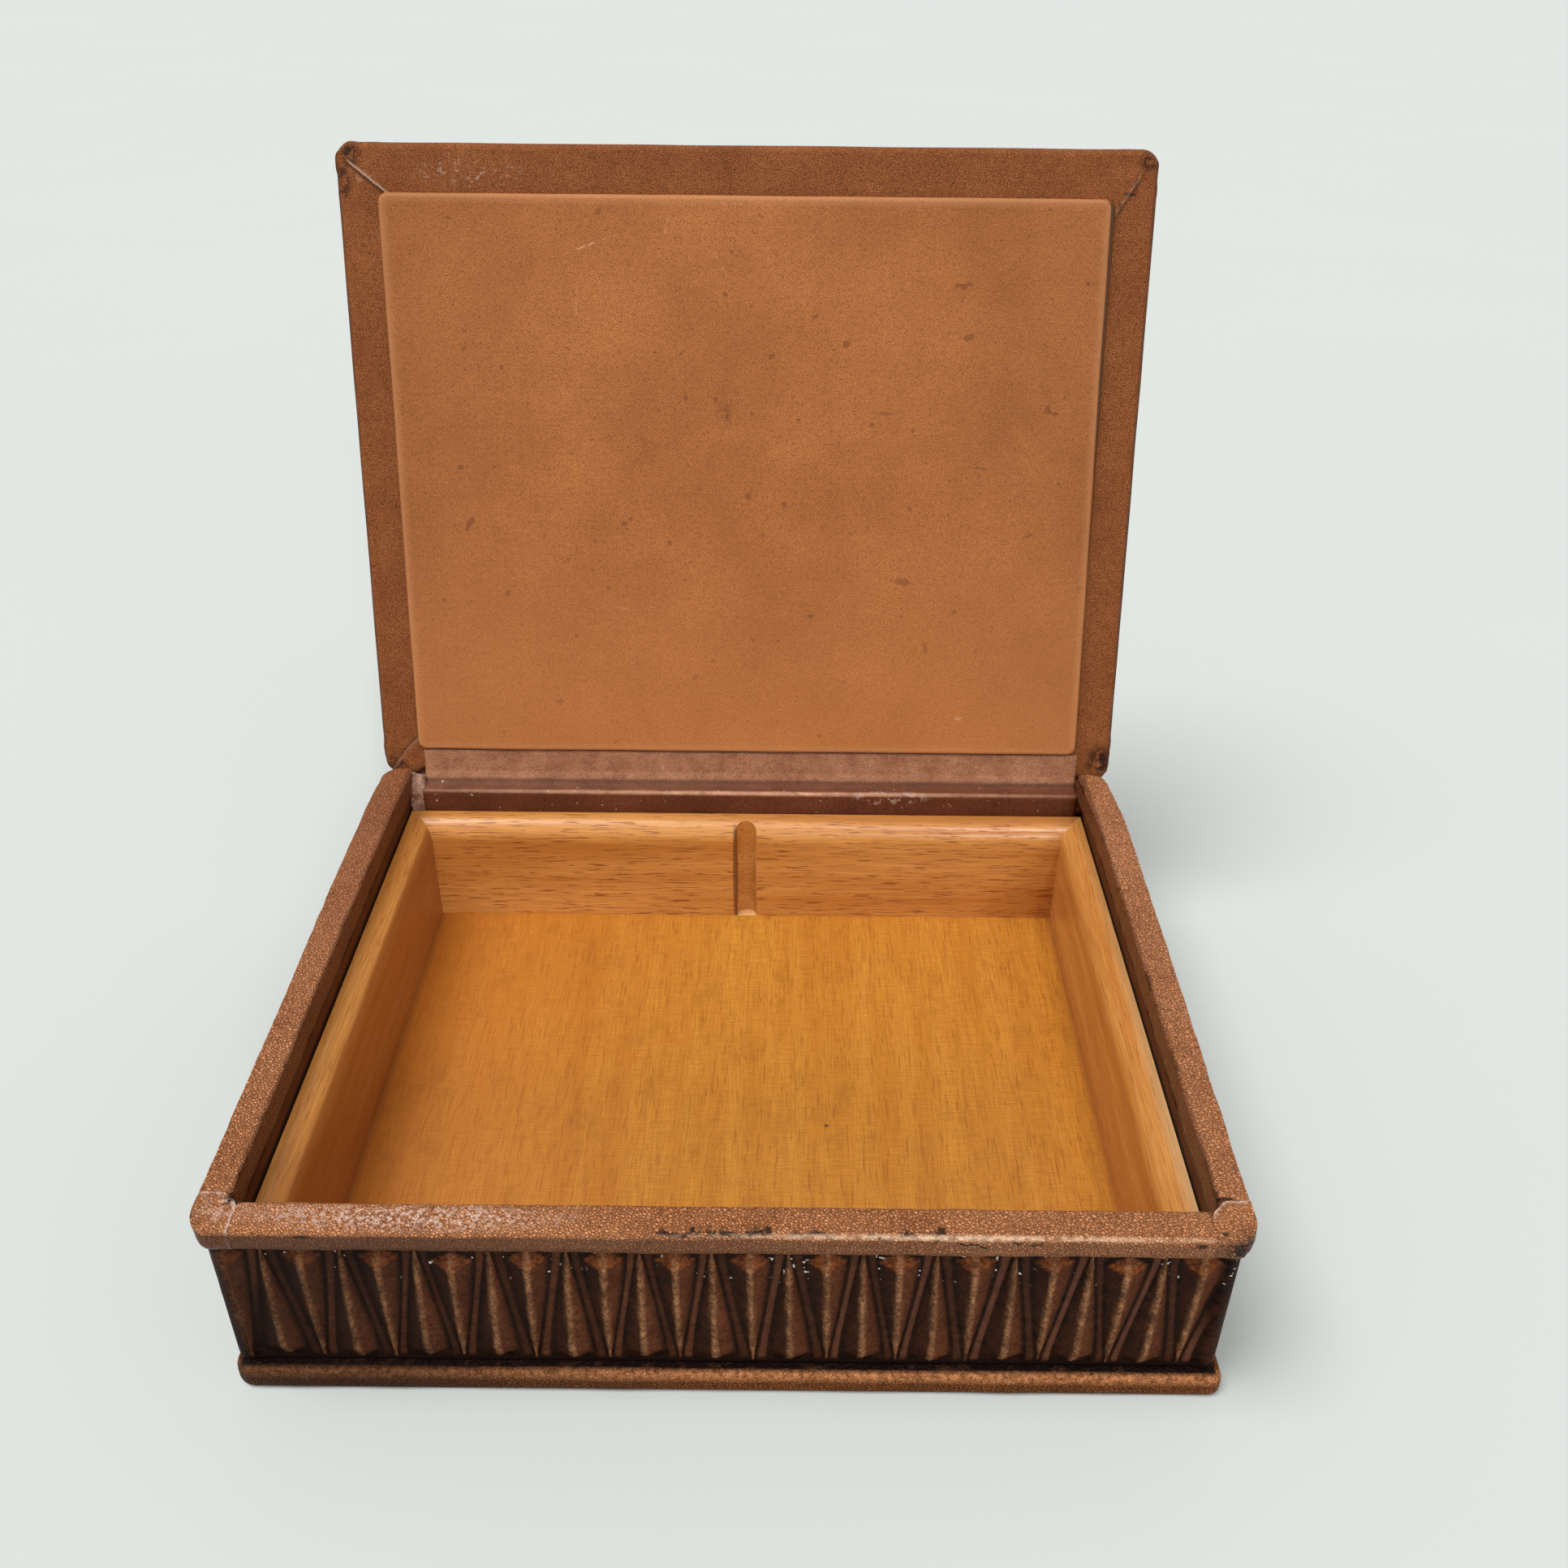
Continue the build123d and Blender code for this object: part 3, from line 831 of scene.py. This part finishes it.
# Beech tray: four mitred walls with a rounded upper inner edge, stained and
# varnished honey orange, round a thin floor laid in between them.
def beech(name, pale, deep, along, roughness=0.29, crossed=0, flecked=0.85):
    """Varnished beech with streaks and short dark flecks that run along an axis."""
    material, shader, place = begin(name, roughness)

    def drawn_out(thin, length, detail, roughness):
        """Noise drawn out along the grain, with its width and length in mm."""
        size = [1 / (thin * mm)] * 3
        size[along] = 1 / (length * mm)
        return clouds(placed(place, size), 1, detail, roughness)

    fibres = drawn_out(0.35, 14, 3, 0.6)
    colour = tint(between(drawn_out(5.5, 110, 6, 0.65), 0.32, 0.68), pale, deep)
    dark = toned(deep, (0.55, 0.42, 0.35))
    colour = tint(between(fibres, 0.4, 0.75, 0, 0.5), colour, dark)
    colour = tint(between(clouds(place, 45, 3), 0.5, 0.75, 0, 0.35), colour, deep)
    fleck = between(drawn_out(0.45, 7.5, 2, 0.6), 0.575, 0.65, 0, flecked)
    colour = tint(fleck, colour, toned(deep, (0.5, 0.32, 0.22)))
    height = maths("SUBTRACT", product(fibres, 0.5), fleck)
    if crossed:
        weave = clouds(placed(place, (1 / (0.4 * mm), 1 / (0.4 * mm), 1)), 1, 2)
        lines = clouds(placed(place, (1 / (7 * mm), 1 / (0.3 * mm), 1)), 1, 2)
        marks = between(maths("ADD", weave, lines), 0.9, 1.2, 0, crossed)
        colour = tint(marks, colour, dark)
        height = maths("SUBTRACT", height, marks)
    bump(shader, height, 0.04)
    return material, shader, place, colour


WALL_PALE, WALL_DEEP = (0.72, 0.34, 0.09), (0.5, 0.185, 0.03)
FLOOR_PALE, FLOOR_DEEP = (0.6, 0.26, 0.03), (0.49, 0.185, 0.014)

long_walls, shader, place, colour = beech("beech_front", WALL_PALE, WALL_DEEP, 0)
x, y, z = axes(place)
shelf = product(ramp(y, 72.6, 73.6), ramp(x, -60, 60, 0.15, 0.72))
colour = tint(shelf, colour, (0.36, 0.125, 0.026))
slot = product(blot(place, (0, 70.5, 22), (3.3, 2.4, 40), 0.9), 0.77)
colour = tint(slot, colour, (0.78, 0.44, 0.18))
shaded = product(blot(place, (-3, 70.6, 21), (0.9, 3, 26), 0.6), 0.8)
colour = tint(shaded, colour, (0.1, 0.032, 0.01))
chatter = between(clouds(placed(place, (900, 900, 260)), 1, 2), 0.6, 0.66, 0, 0.8)
grime = product(blot(place, (0, 71.2, 24), (3.2, 2.2, 18), 0.7), chatter)
paint(shader, tint(grime, colour, (0.16, 0.05, 0.012)))
dress(("tray_front", "tray_back"), long_walls)

side_walls, shader, place, colour = beech("beech_left", WALL_PALE, WALL_DEEP, 1, flecked=0.4)
x, y, z = axes(place)
# Painted shade on the inner face of the left wall.
left = product(ramp(x, -90, -89.4), ramp(x, 1, 0), ramp(z, 12, 34, 0.52, 0.74))
colour = tint(left, colour, (0.26, 0.07, 0.012))
# A painted highlight along the outer top edge of the right wall, stronger towards the front.
outer = product(ramp(x, 92, 94.4), ramp(y, 60, -50, 0.1, 0.6))
paint(shader, tint(outer, colour, (0.82, 0.54, 0.27)))
dress(("tray_left", "tray_right"), side_walls)

floor_wood, shader, place, colour = beech("beech_floor", FLOOR_PALE, FLOOR_DEEP, 1, 0.42, 0.45, 0.45)
x, y, z = axes(place)
# Painted shade over the left of the floor.
colour = tint(ramp(x, -10, -88, 0, 0.5), colour, (0.46, 0.125, 0.013))
# Painted shade along the foot of each side wall.
for side in (-1, 1):
    edge = ramp(x, side * 86.3, side * 88.2, 0, 0.75)
    colour = tint(edge, colour, (0.25, 0.072, 0.012))
stains = between(clouds(placed(place, (1.6, 1, 1)), 75, 6, 0.72), 0.53, 0.66, 0, 0.32)
colour = tint(stains, colour, (0.27, 0.09, 0.009))
FLOOR_MARK = ((21.7, -13, 7), (0.9, 0.6, 1), (0.04, 0.02, 0.01), 500, 0.2, 0.3, 0.9)
paint(shader, wear_and_light_marks(place, colour, (FLOOR_MARK,)))
dress(("tray_floor",), floor_wood)


# Inner hinge: a strip of thin reddish leather glued over the top of the back
# wall and up on to the lid, where the panel covers its edge.
def band(section, rounds, low_x, high_x):
    """A long band from a section in mm, with some corners rounded by a radius in so many segments."""
    shape = bmesh.new()
    start = shape.faces.new([shape.verts.new((low_x, y * mm, z * mm)) for y, z in section])
    drawn = bmesh.ops.extrude_face_region(shape, geom=[start], use_keep_orig=True)
    moved = [item for item in drawn["geom"] if isinstance(item, bmesh.types.BMVert)]
    bmesh.ops.translate(shape, verts=moved, vec=(high_x - low_x, 0, 0))
    bmesh.ops.recalc_face_normals(shape, faces=shape.faces)
    for corner, radius, segments in rounds:
        spot = Vector(section[corner]) * mm
        round_edges(shape, radius, lambda a, b: (
            runs(0)(a, b) and (Vector((a.y, a.z)) - spot).length < 0.05 * mm), segments)
    return shape


hinge_leather, shader, place, colour = leather(
    "hinge_leather", (0.112, 0.032, 0.013), (0.21, 0.065, 0.027), 0.5, 0.14, 0.42, 0.14)
x, y, z = axes(place)
mottled = between(clouds(place, 160, 6, 0.7), 0.3, 0.7)
pink = tint(mottled, (0.275, 0.103, 0.049), (0.47, 0.22, 0.12))
pink = tint(between(clouds(place, 1500, 3), 0.5, 0.7, 0, 0.5), pink, (0.11, 0.042, 0.025))
# Painted light on the upper face of the wall part, stronger towards the left.
light = tint(mottled, (0.12, 0.045, 0.024), (0.22, 0.09, 0.05))
top = product(ramp(z, 44.4, 45), ramp(x, 70, -60, 0.25, 0.9))
colour = tint(top, colour, light)
colour = tint(ramp(z, 45.9, 46.6), colour, pink)
# Painted shade in the fold where the strip turns up on to the lid.
off = maths("ABSOLUTE", maths("SUBTRACT", z, 46 * mm))
colour = tint(ramp(off, 0.9, 0.1, 0, 0.28), colour, (0.045, 0.017, 0.01))
# A painted highlight along the upper edge of the wall part.
crest_highlight = product(blot(place, (0, 76.9, 44.8), (110, 1, 0.8), 0.2),
                between(clouds(place, 300, 4), 0.3, 0.6, 0.45, 0.95))
colour = tint(crest_highlight, colour, (0.62, 0.33, 0.2))
chalk = between(clouds(place, 900, 1, 0.4), 0.755, 0.775, 0, 0.6)
colour = tint(chalk, colour, (0.66, 0.5, 0.42))
worn = product(blot(place, (40, 76.6, 43.9), (13, 2.2, 2.4)),
               between(clouds(place, 420, 4), 0.52, 0.62, 0, 0.85))
paint(shader, tint(worn, colour, (0.55, 0.4, 0.32)))

HINGE_SECTION = ((76.3, 30.4), (76.3, 45.2), (80.6, 45), (82.17, 48.1), (83.68, 54.16),
                 (84.55, 53.95), (83.04, 47.88), (80.65, 44.3), (77.2, 44.3), (77.2, 30.4))
HINGE_ROUNDS = ((1, 1.3, 5), (2, 1.5, 5), (8, 0.6, 3), (7, 0.8, 4))
low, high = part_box("hinge_strip_wall")
shape = band(HINGE_SECTION, HINGE_ROUNDS, low.x + 1.7 * mm, high.x + 0.5 * mm)
slices(shape, 0, 0.9)
cut_at(shape, 2, evenly(41, 0.7, 18))
unevenness(shape, 0.28, 7, 6, lambda point: point.z < 40 * mm or point.z > 50 * mm)
hinge_nodes = ["hinge_strip_wall", "hinge_strip_fold", "hinge_strip_lid"]
hinge = piece("inner_hinge", shape, hinge_leather, hinge_nodes, None)
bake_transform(hinge)

fray, shader, place, colour = leather(
    "hinge_fray", (0.17, 0.06, 0.03), (0.62, 0.38, 0.28), 0.5, 0.12, 0.6, 0.1, mottle=420)
for side, finish, start, end in (("left", fray, low.x - 2.3 * mm, low.x + 2 * mm),
                                 ("right", dark_leather, high.x + 0.4 * mm, high.x + 2.3 * mm)):
    shape = slab((start, 76.4 * mm, 38 * mm), (end, 81.2 * mm, 48.3 * mm))
    cut_off(shape, (0, 76.4 * mm, 44.6 * mm), Vector((0, -0.6, 0.8)))
    round_edges(shape, 0.8, lambda a, b: not runs(0)(a, b) or min(a.z, b.z) > 40 * mm, 3)
    for axis in range(3):
        slices(shape, axis, 0.4)
    unevenness(shape, 0.45, 1.3, 2)
    piece(side + "_hinge_end", shape, finish, [])


# Outer hinge: a dark leather spine glued down the back of the box and turned
# on to the rear edge of the lid.
SPINE_SECTION = ((82.3, 29.3), (82.3, 44.6), (84.57, 46.57), (86.9, 45.99),
                 (87.12, 46.87), (84.79, 47.45), (81.4, 44.3), (81.4, 29.3))
SPINE_ROUNDS = ((1, 1.2, 5), (2, 1, 5), (6, 0.6, 3), (5, 0.6, 3), (0, 0.4, 3))
spine_leather, *_ = leather(
    "spine_leather", (0.06, 0.021, 0.012), (0.12, 0.042, 0.022), 0.6, 0.08, 0.42, 0.14)
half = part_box("spine_wall")[1].x + 2.4 * mm
shape = band(SPINE_SECTION, SPINE_ROUNDS, -half, half)
slices(shape, 0, 1.5)
cut_at(shape, 2, evenly(30.5, 1.5, 9))
cut_at(shape, 2, evenly(43.6, 0.5, 7))
unevenness(shape, 0.22, 11, 8, lambda point: ease(point.z, 41.5 * mm, 43.5 * mm))
spine_nodes = ["spine_wall", "spine_fold", "spine_lid"]
spine = piece("outer_hinge", shape, spine_leather, spine_nodes, None)
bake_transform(spine)


# Lid: a board in smooth brown leather, turned in over its inner face all
# round. The front and rear edges lie over the side ones in folded corners.
# It is shaped as it lies shut and then turned open about the hinge.
LID_OPEN = radians(104)
HINGE = Vector((0, 81.55, 48.1)) * mm
LID_CORNER = 4.3
LID_ROUND = 1.7
LID_DARK = (0.03, 0.011, 0.006)
LID_MARKS = (
    ((-98.8, -79.5, 49.5), (3.2, 3.6, 3), LID_DARK, 420, 0.42, 0.52, 0.9),
    ((-101, -73, 49.5), (2.2, 6, 3), LID_DARK, 300, 0.47, 0.55, 0.8),
    ((-97, -74.5, 49.4), (2.6, 2.6, 2), (0.42, 0.22, 0.13), 700, 0.46, 0.6, 0.8),
    ((-70, -75.5, 49.4), (17, 4.2, 2), (0.5, 0.36, 0.28), 800, 0.56, 0.66, 0.7),
    ((100, -79.4, 49.6), (3, 2.8, 3), LID_DARK, 500, 0.42, 0.5, 0.9),
    ((95.9, -71.7, 49.4), (2.3, 0.7, 2), LID_DARK, 500, 0.3, 0.45, 0.9),
    ((97.3, -74.4, 49.4), (0.7, 2.6, 2), LID_DARK, 700, 0.3, 0.5, 0.7),
    ((93.6, -68.6, 49.4), (0.8, 1.6, 2), LID_DARK, 700, 0.35, 0.5, 0.7),
    ((-99.5, 79.5, 49.8), (4.5, 3.5, 3), LID_DARK, 420, 0.44, 0.56, 0.85),
    ((99.8, 77, 49.6), (5, 5.5, 3), LID_DARK, 420, 0.4, 0.5, 0.95),
    ((0, 80.5, 49.8), (103, 2, 2.2), LID_DARK, 300, 0.3, 0.6, 0.7))
# Each mitre: its two ends, how deep the painted shade lies in its fold, and how pale its raw edge shows.
MITRES = (((-99.6, -77.6), (-90.6, -70.6), 0.8, 1), ((98.2, -75.6), (92, -66), 0.35, 0.25),
          ((-100.6, 80), (-94.6, 74), 0.6, 0.2), ((99.8, 78.4), (92.6, 73.4), 0.15, 0))
FOLD_SIDE = 88 * mm
FOLD_FRONT = 64 * mm
FOLD_EDGE = 0.22 * mm
TURN_IN = 0.38 * mm
REAR_CORNER = 1.5 * mm

opened = Matrix.Translation(HINGE) @ Matrix.Rotation(-LID_OPEN, 4, "X") @ Matrix.Translation(-HINGE)


def shut_box(node):
    """The lowest and highest corners of a piece of the lid as it lies shut."""
    points = [opened.inverted() @ vert.co for vert in frame["nodes"][node].data.vertices]
    return [Vector([pick(point[axis] for point in points) for axis in range(3)]) for pick in (min, max)]


def laid_shut(place):
    """Coordinates of a place on the lid as it lies shut."""
    return placed(place, turn=(LID_OPEN, 0, 0), shift=tuple(opened.inverted().translation))


def in_corner(point, mitre, side, front):
    """Whether a point is in a mitre's corner of the lid, beyond two distances from the middle."""
    return (point.x * mitre.x > 0 and point.y * mitre.y > 0
            and abs(point.x) > side and abs(point.y) > front)


def off_corner(point):
    """Hold all but the inner face near the corners."""
    away = Vector((high.x - abs(point.x), min(point.y - low.y, high.y - point.y)))
    at_corner = 1 - ease(away.length, 6 * mm, 15 * mm)
    return 1 - at_corner * (1 - ease(point.z, low.z + 0.8 * mm, low.z + 2.2 * mm))


lid_leather, shader, place, colour = leather(
    "lid_leather", (0.22, 0.066, 0.018), (0.335, 0.112, 0.035), 0.5, 0.13, 0.4, 0.08,
    crease_dye_and_shade=0.65, mottle=75, sanding_and_highlight=0.3)
shut = laid_shut(place)
x, y, z = axes(shut)
colour = wear_and_light_marks(shut, colour, LID_MARKS)
# Painted shade in the fold beside each mitre.
colour = tint(product(marked(place, "fold"), 0.8), colour, (0.035, 0.012, 0.007))
colour = tint(product(marked(place, "lip"), 0.8), colour, (0.6, 0.4, 0.29))
# The side edges of the lid darkened, with scuffs and painted shade.
edge = product(ramp(maths("ABSOLUTE", x), 101.5, 102.7),
               between(clouds(place, 160, 5), 0.35, 0.55, 0.3, 0.85))
paint(shader, tint(edge, colour, (0.045, 0.016, 0.009)))

low, high = shut_box("lid_leather")
shape = slab(low, high)
round_edges(shape, LID_CORNER, upright, 9)
round_edges(shape, LID_ROUND, lambda a, b: at_height(low.z)(a, b) or at_height(high.z)(a, b), 5)
fine = evenly(0.55, 0.55, 26)
cut_at(shape, 0, [side * (high.x - step) for side in (-1, 1) for step in fine])
cut_at(shape, 1, [low.y + step for step in fine] + [high.y - step for step in fine])
cut_at(shape, 0, evenly(-86, 2, 87))
cut_at(shape, 1, evenly(-66, 2, 66))
mitres = []
for start, end, darkness, paleness in MITRES:
    start, end = Vector(start + (0,)) * mm, Vector(end + (0,)) * mm
    across = Vector((end.y - start.y, start.x - end.x, 0)).normalized()
    if across.y * start.y < 0:
        across = -across
    mitres.append((start, across, darkness, paleness))
    for shift in (0, FOLD_EDGE):
        corner = [face for face in shape.faces
                  if all(in_corner(vert.co, start, FOLD_SIDE, FOLD_FRONT)
                         and vert.co.z < low.z + 0.4 * mm for vert in face.verts)]
        edges = {edge for face in corner for edge in face.edges}
        verts = {vert for face in corner for vert in face.verts}
        bmesh.ops.bisect_plane(shape, geom=[*verts, *edges, *corner], dist=0.01 * mm,
                               plane_co=start - across * shift, plane_no=across)
folds = shape.verts.layers.float.new("fold")
lips = shape.verts.layers.float.new("lip")
for vert in shape.verts:
    if vert.co.z > low.z + 0.5 * mm:
        continue
    start, across, darkness, paleness = min(mitres, key=lambda mitre: (mitre[0] - vert.co).xy.length)
    under = 1 if abs(vert.co.x) > 90 * mm and abs(vert.co.y) < 70 * mm else 0
    if in_corner(vert.co, start, 60 * mm, 50 * mm):
        beyond = (vert.co - start).dot(across)
        under = 1 - ease(beyond, -FOLD_EDGE, 0) if abs(vert.co.x) > FOLD_SIDE else 0
        inward = ease(abs(start.x) - abs(vert.co.x), -0.4 * mm, 0.6 * mm)
        # Painted shade in the fold just past the raised edge of the mitre.
        vert[folds] = (1 - ease(abs(beyond + 0.35 * mm), 0.2 * mm, 0.7 * mm)) * inward * darkness
        vert[lips] = (1 - ease(abs(beyond - 0.15 * mm), 0.1 * mm, 0.35 * mm)) * inward * paleness
    vert.co.z += TURN_IN * under * ease(high.x - abs(vert.co.x), 1.2 * mm, 4 * mm)
for vert in shape.verts:
    rear = ease(vert.co.y, high.y - 6 * mm, high.y - mm) * ease(abs(vert.co.x), 91.5 * mm, 94 * mm)
    vert.co.y += REAR_CORNER * rear
unevenness(shape, 0.12, 18, 5)
unevenness(shape, 0.45, 3.2, 3, off_corner)
unevenness(shape, 0.22, 1.4, 8, off_corner)
for vert in shape.verts:
    vert.co.z = max(vert.co.z, low.z)
shape.transform(opened)
piece("lid_cover", shape, lid_leather, ["lid_leather"], "lid")


# Inside panel: a thin card in smooth tan leather, glued over the turned in
# edges, with dents and rubs from what the box has held.
PANEL_FACE = 47.8
PANEL_SLICE = 1.3
PANEL_TAPER = 1.1 * mm
PIT = (0.2, 0.07, 0.025), 500, 0.3, 0.5, 0.7
PANEL_MARKS = (
    ((-6.4, -17.4), (3.2, 4), (0.2, 0.065, 0.022), 500, 0.45, 0.6, 0.8),
    ((0.4, 3.7), (1.1, 1.2), (0.17, 0.055, 0.02), 600, 0.3, 0.5, 0.8),
    ((17.3, 35.9), (1, 0.8), (0.13, 0.04, 0.015), 600, 0.3, 0.5, 0.9),
    ((-73, -33.2), (1, 0.8), (0.15, 0.05, 0.018), 600, 0.3, 0.5, 0.8),
    ((-16.5, 26.2), (1.2, 0.7), (0.2, 0.07, 0.025), 600, 0.35, 0.5, 0.7),
    ((36, -18), (3.4, 0.6), (0.22, 0.075, 0.027), 500, 0.35, 0.5, 0.7),
    ((4.3, 14), (0.8, 0.8), (0.22, 0.075, 0.027), 500, 0.3, 0.5, 0.7),
    ((42.1, 35.7), (0.8, 0.6), *PIT),
    ((43.5, -13.9), (0.7, 0.6), *PIT),
    ((-48.1, 21), (0.9, 0.7), *PIT),
    ((68, -12), (9, 13), (0.26, 0.085, 0.03), 180, 0.45, 0.7, 0.5),
    ((58.9, 64.3), (1.4, 0.9), (0.62, 0.36, 0.2), 900, 0.45, 0.55, 0.7))
SCRATCHES = (((-47, -61.8), (-30.8, -56.2), 0.35, 0.8), ((-21, -66), (-19.5, -60.5), 0.5, 0.6),
             ((-44, -52), (-43, -38), 0.3, 0.4), ((-9, -50), (-4, -58), 0.3, 0.5),
             ((-38, 35), (-30, 33), 0.4, 0.4), ((20, 52), (26, 60), 0.4, 0.35))
DENTS = (
    (-8.5, -20.2, 1.5, 0.28), (-4.3, -14.5, 1.6, 0.3), (-11.7, -18.6, 1.1, 0.2), (-6.4, -17.2, 3.4, 0.14),
    (0.4, 3.7, 1.3, 0.25), (17.3, 35.9, 1.1, 0.28), (-73, -33.2, 1.2, 0.25), (-16.5, 26.2, 1.3, 0.15),
    (68, -12, 11, 0.2), (-38, 30, 16, 0.16), (40, 20, 20, 0.14), (-50, -30, 14, 0.12))

panel_leather, shader, place, colour = leather(
    "panel_leather", (0.355, 0.117, 0.03), (0.505, 0.18, 0.053), 0.42, 0.07, 0.46, 0.14,
    crease_dye_and_shade=0.5, mottle=30, sanding_and_highlight=0.2)
shut = laid_shut(place)
x, y, z = axes(shut)
marks = [(spot + (PANEL_FACE,), reach + (2,), *look) for spot, reach, *look in PANEL_MARKS]
colour = wear_and_light_marks(shut, colour, marks)
specks = between(clouds(place, 260, 1, 0.4), 0.75, 0.77, 0, 0.6)
colour = tint(specks, colour, (0.16, 0.05, 0.018))
for start, end, width, strength in SCRATCHES:
    run = Vector(end) - Vector(start)
    angle = run.angle_signed(Vector((1, 0)))
    middle = Matrix.Rotation(angle, 2) @ (Vector(start) + run / 2)
    pale = blot(placed(shut, turn=(0, 0, angle)), (*middle, PANEL_FACE), (run.length / 2, width, 3), 0.3)
    pale = product(pale, between(clouds(place, 500, 3), 0.42, 0.6, 0, strength))
    colour = tint(pale, colour, (0.66, 0.33, 0.16))
colour = tint(product(marked(place, "rubbed_edge"), 0.5), colour, (0.55, 0.25, 0.11))
outward = ramp(maths("ABSOLUTE", x), 50, 90, 0, 0.18)
colour = tint(outward, colour, (0.16, 0.045, 0.012))
colour = tint(ramp(y, 10, 74, 0, 0.3), colour, (0.62, 0.245, 0.078))
# A painted shadow along the panel's edge by the hinge, which is its lower edge when the lid stands open.
colour = tint(ramp(y, 74.5, 74.95, 0, 0.9), colour, (0.03, 0.012, 0.008))
paint(shader, colour)

low, high = shut_box("panel_leather")
shape = slab(low, high)
round_edges(shape, 2.5, upright, 6)
round_edges(shape, 1, at_height(low.z), 4)
slices(shape, 0, PANEL_SLICE)
slices(shape, 1, PANEL_SLICE)
edges = shape.verts.layers.float.new("rubbed_edge")
for vert in shape.verts:
    if vert.co.z > high.z - 0.2 * mm:
        continue
    inset = min(high.x - abs(vert.co.x), vert.co.y - low.y, high.y - vert.co.y)
    vert[edges] = (1 - ease(inset, 0.6 * mm, 2.2 * mm)) * ease(inset, -0.1 * mm, 0.4 * mm)
    if vert.co.x > 0:
        vert.co.x -= PANEL_TAPER * vert.co.x / high.x * (1 - ease(vert.co.y, low.y, high.y))
    for x, y, reach, depth in DENTS:
        away = Vector((vert.co.x / mm - x, vert.co.y / mm - y)).length / reach
        vert.co.z += depth * mm * exp(-away * away)
unevenness(shape, 0.22, 24, 12, lambda point: point.z > high.z - 0.2 * mm)
shape.transform(opened)
piece("panel_cover", shape, panel_leather, ["panel_leather"], "lid")


# The stage is a plain pale table under soft light: one broad light from the
# upper left, a lower one from the front right, a small one high in front that
# glints on the rounded edges, and a pale sky.
floor_paint, shader, place = begin("floor_paint", 0.9, 0.1)
paint(shader, tint(clouds(place, 3), (0.555, 0.585, 0.565), (0.575, 0.605, 0.585)))
shape = bmesh.new()
bmesh.ops.create_grid(shape, x_segments=1, y_segments=1, size=6)
floor = laid("floor", shape, floor_paint)


def lamp(name, source, spread, strength):
    """A far light from one direction, softened by its spread."""
    light = bpy.data.lights.new(name, "SUN")
    light.angle = spread
    light.energy = strength
    made = bpy.data.objects.new(name, light)
    made.matrix_world = Vector(source).to_track_quat("Z", "Y").to_matrix().to_4x4()
    scene.collection.objects.link(made)


lamp("upper_light", (-0.36, -0.16, 0.92), 0.55, 2.16)
lamp("front_light", (0.24, -0.86, 0.42), 0.16, 0.8)
lamp("window_light", (0.17, -0.45, 0.88), 0.12, 0.75)

world = bpy.data.worlds.new("sky")
world.use_nodes = True
sky = world.node_tree.nodes["Background"]
sky.inputs["Color"].default_value = (1, 1, 1, 1)
rays = add(sky, "LightPath").outputs
seen = maths("MAXIMUM", rays["Is Camera Ray"], rays["Is Glossy Ray"])
seen = maths("MAXIMUM", seen, rays["Is Transmission Ray"])
feed(sky, "Strength", spread(seen, 0.4, 0.62))
scene.world = world
scene.view_settings.view_transform = "Standard"
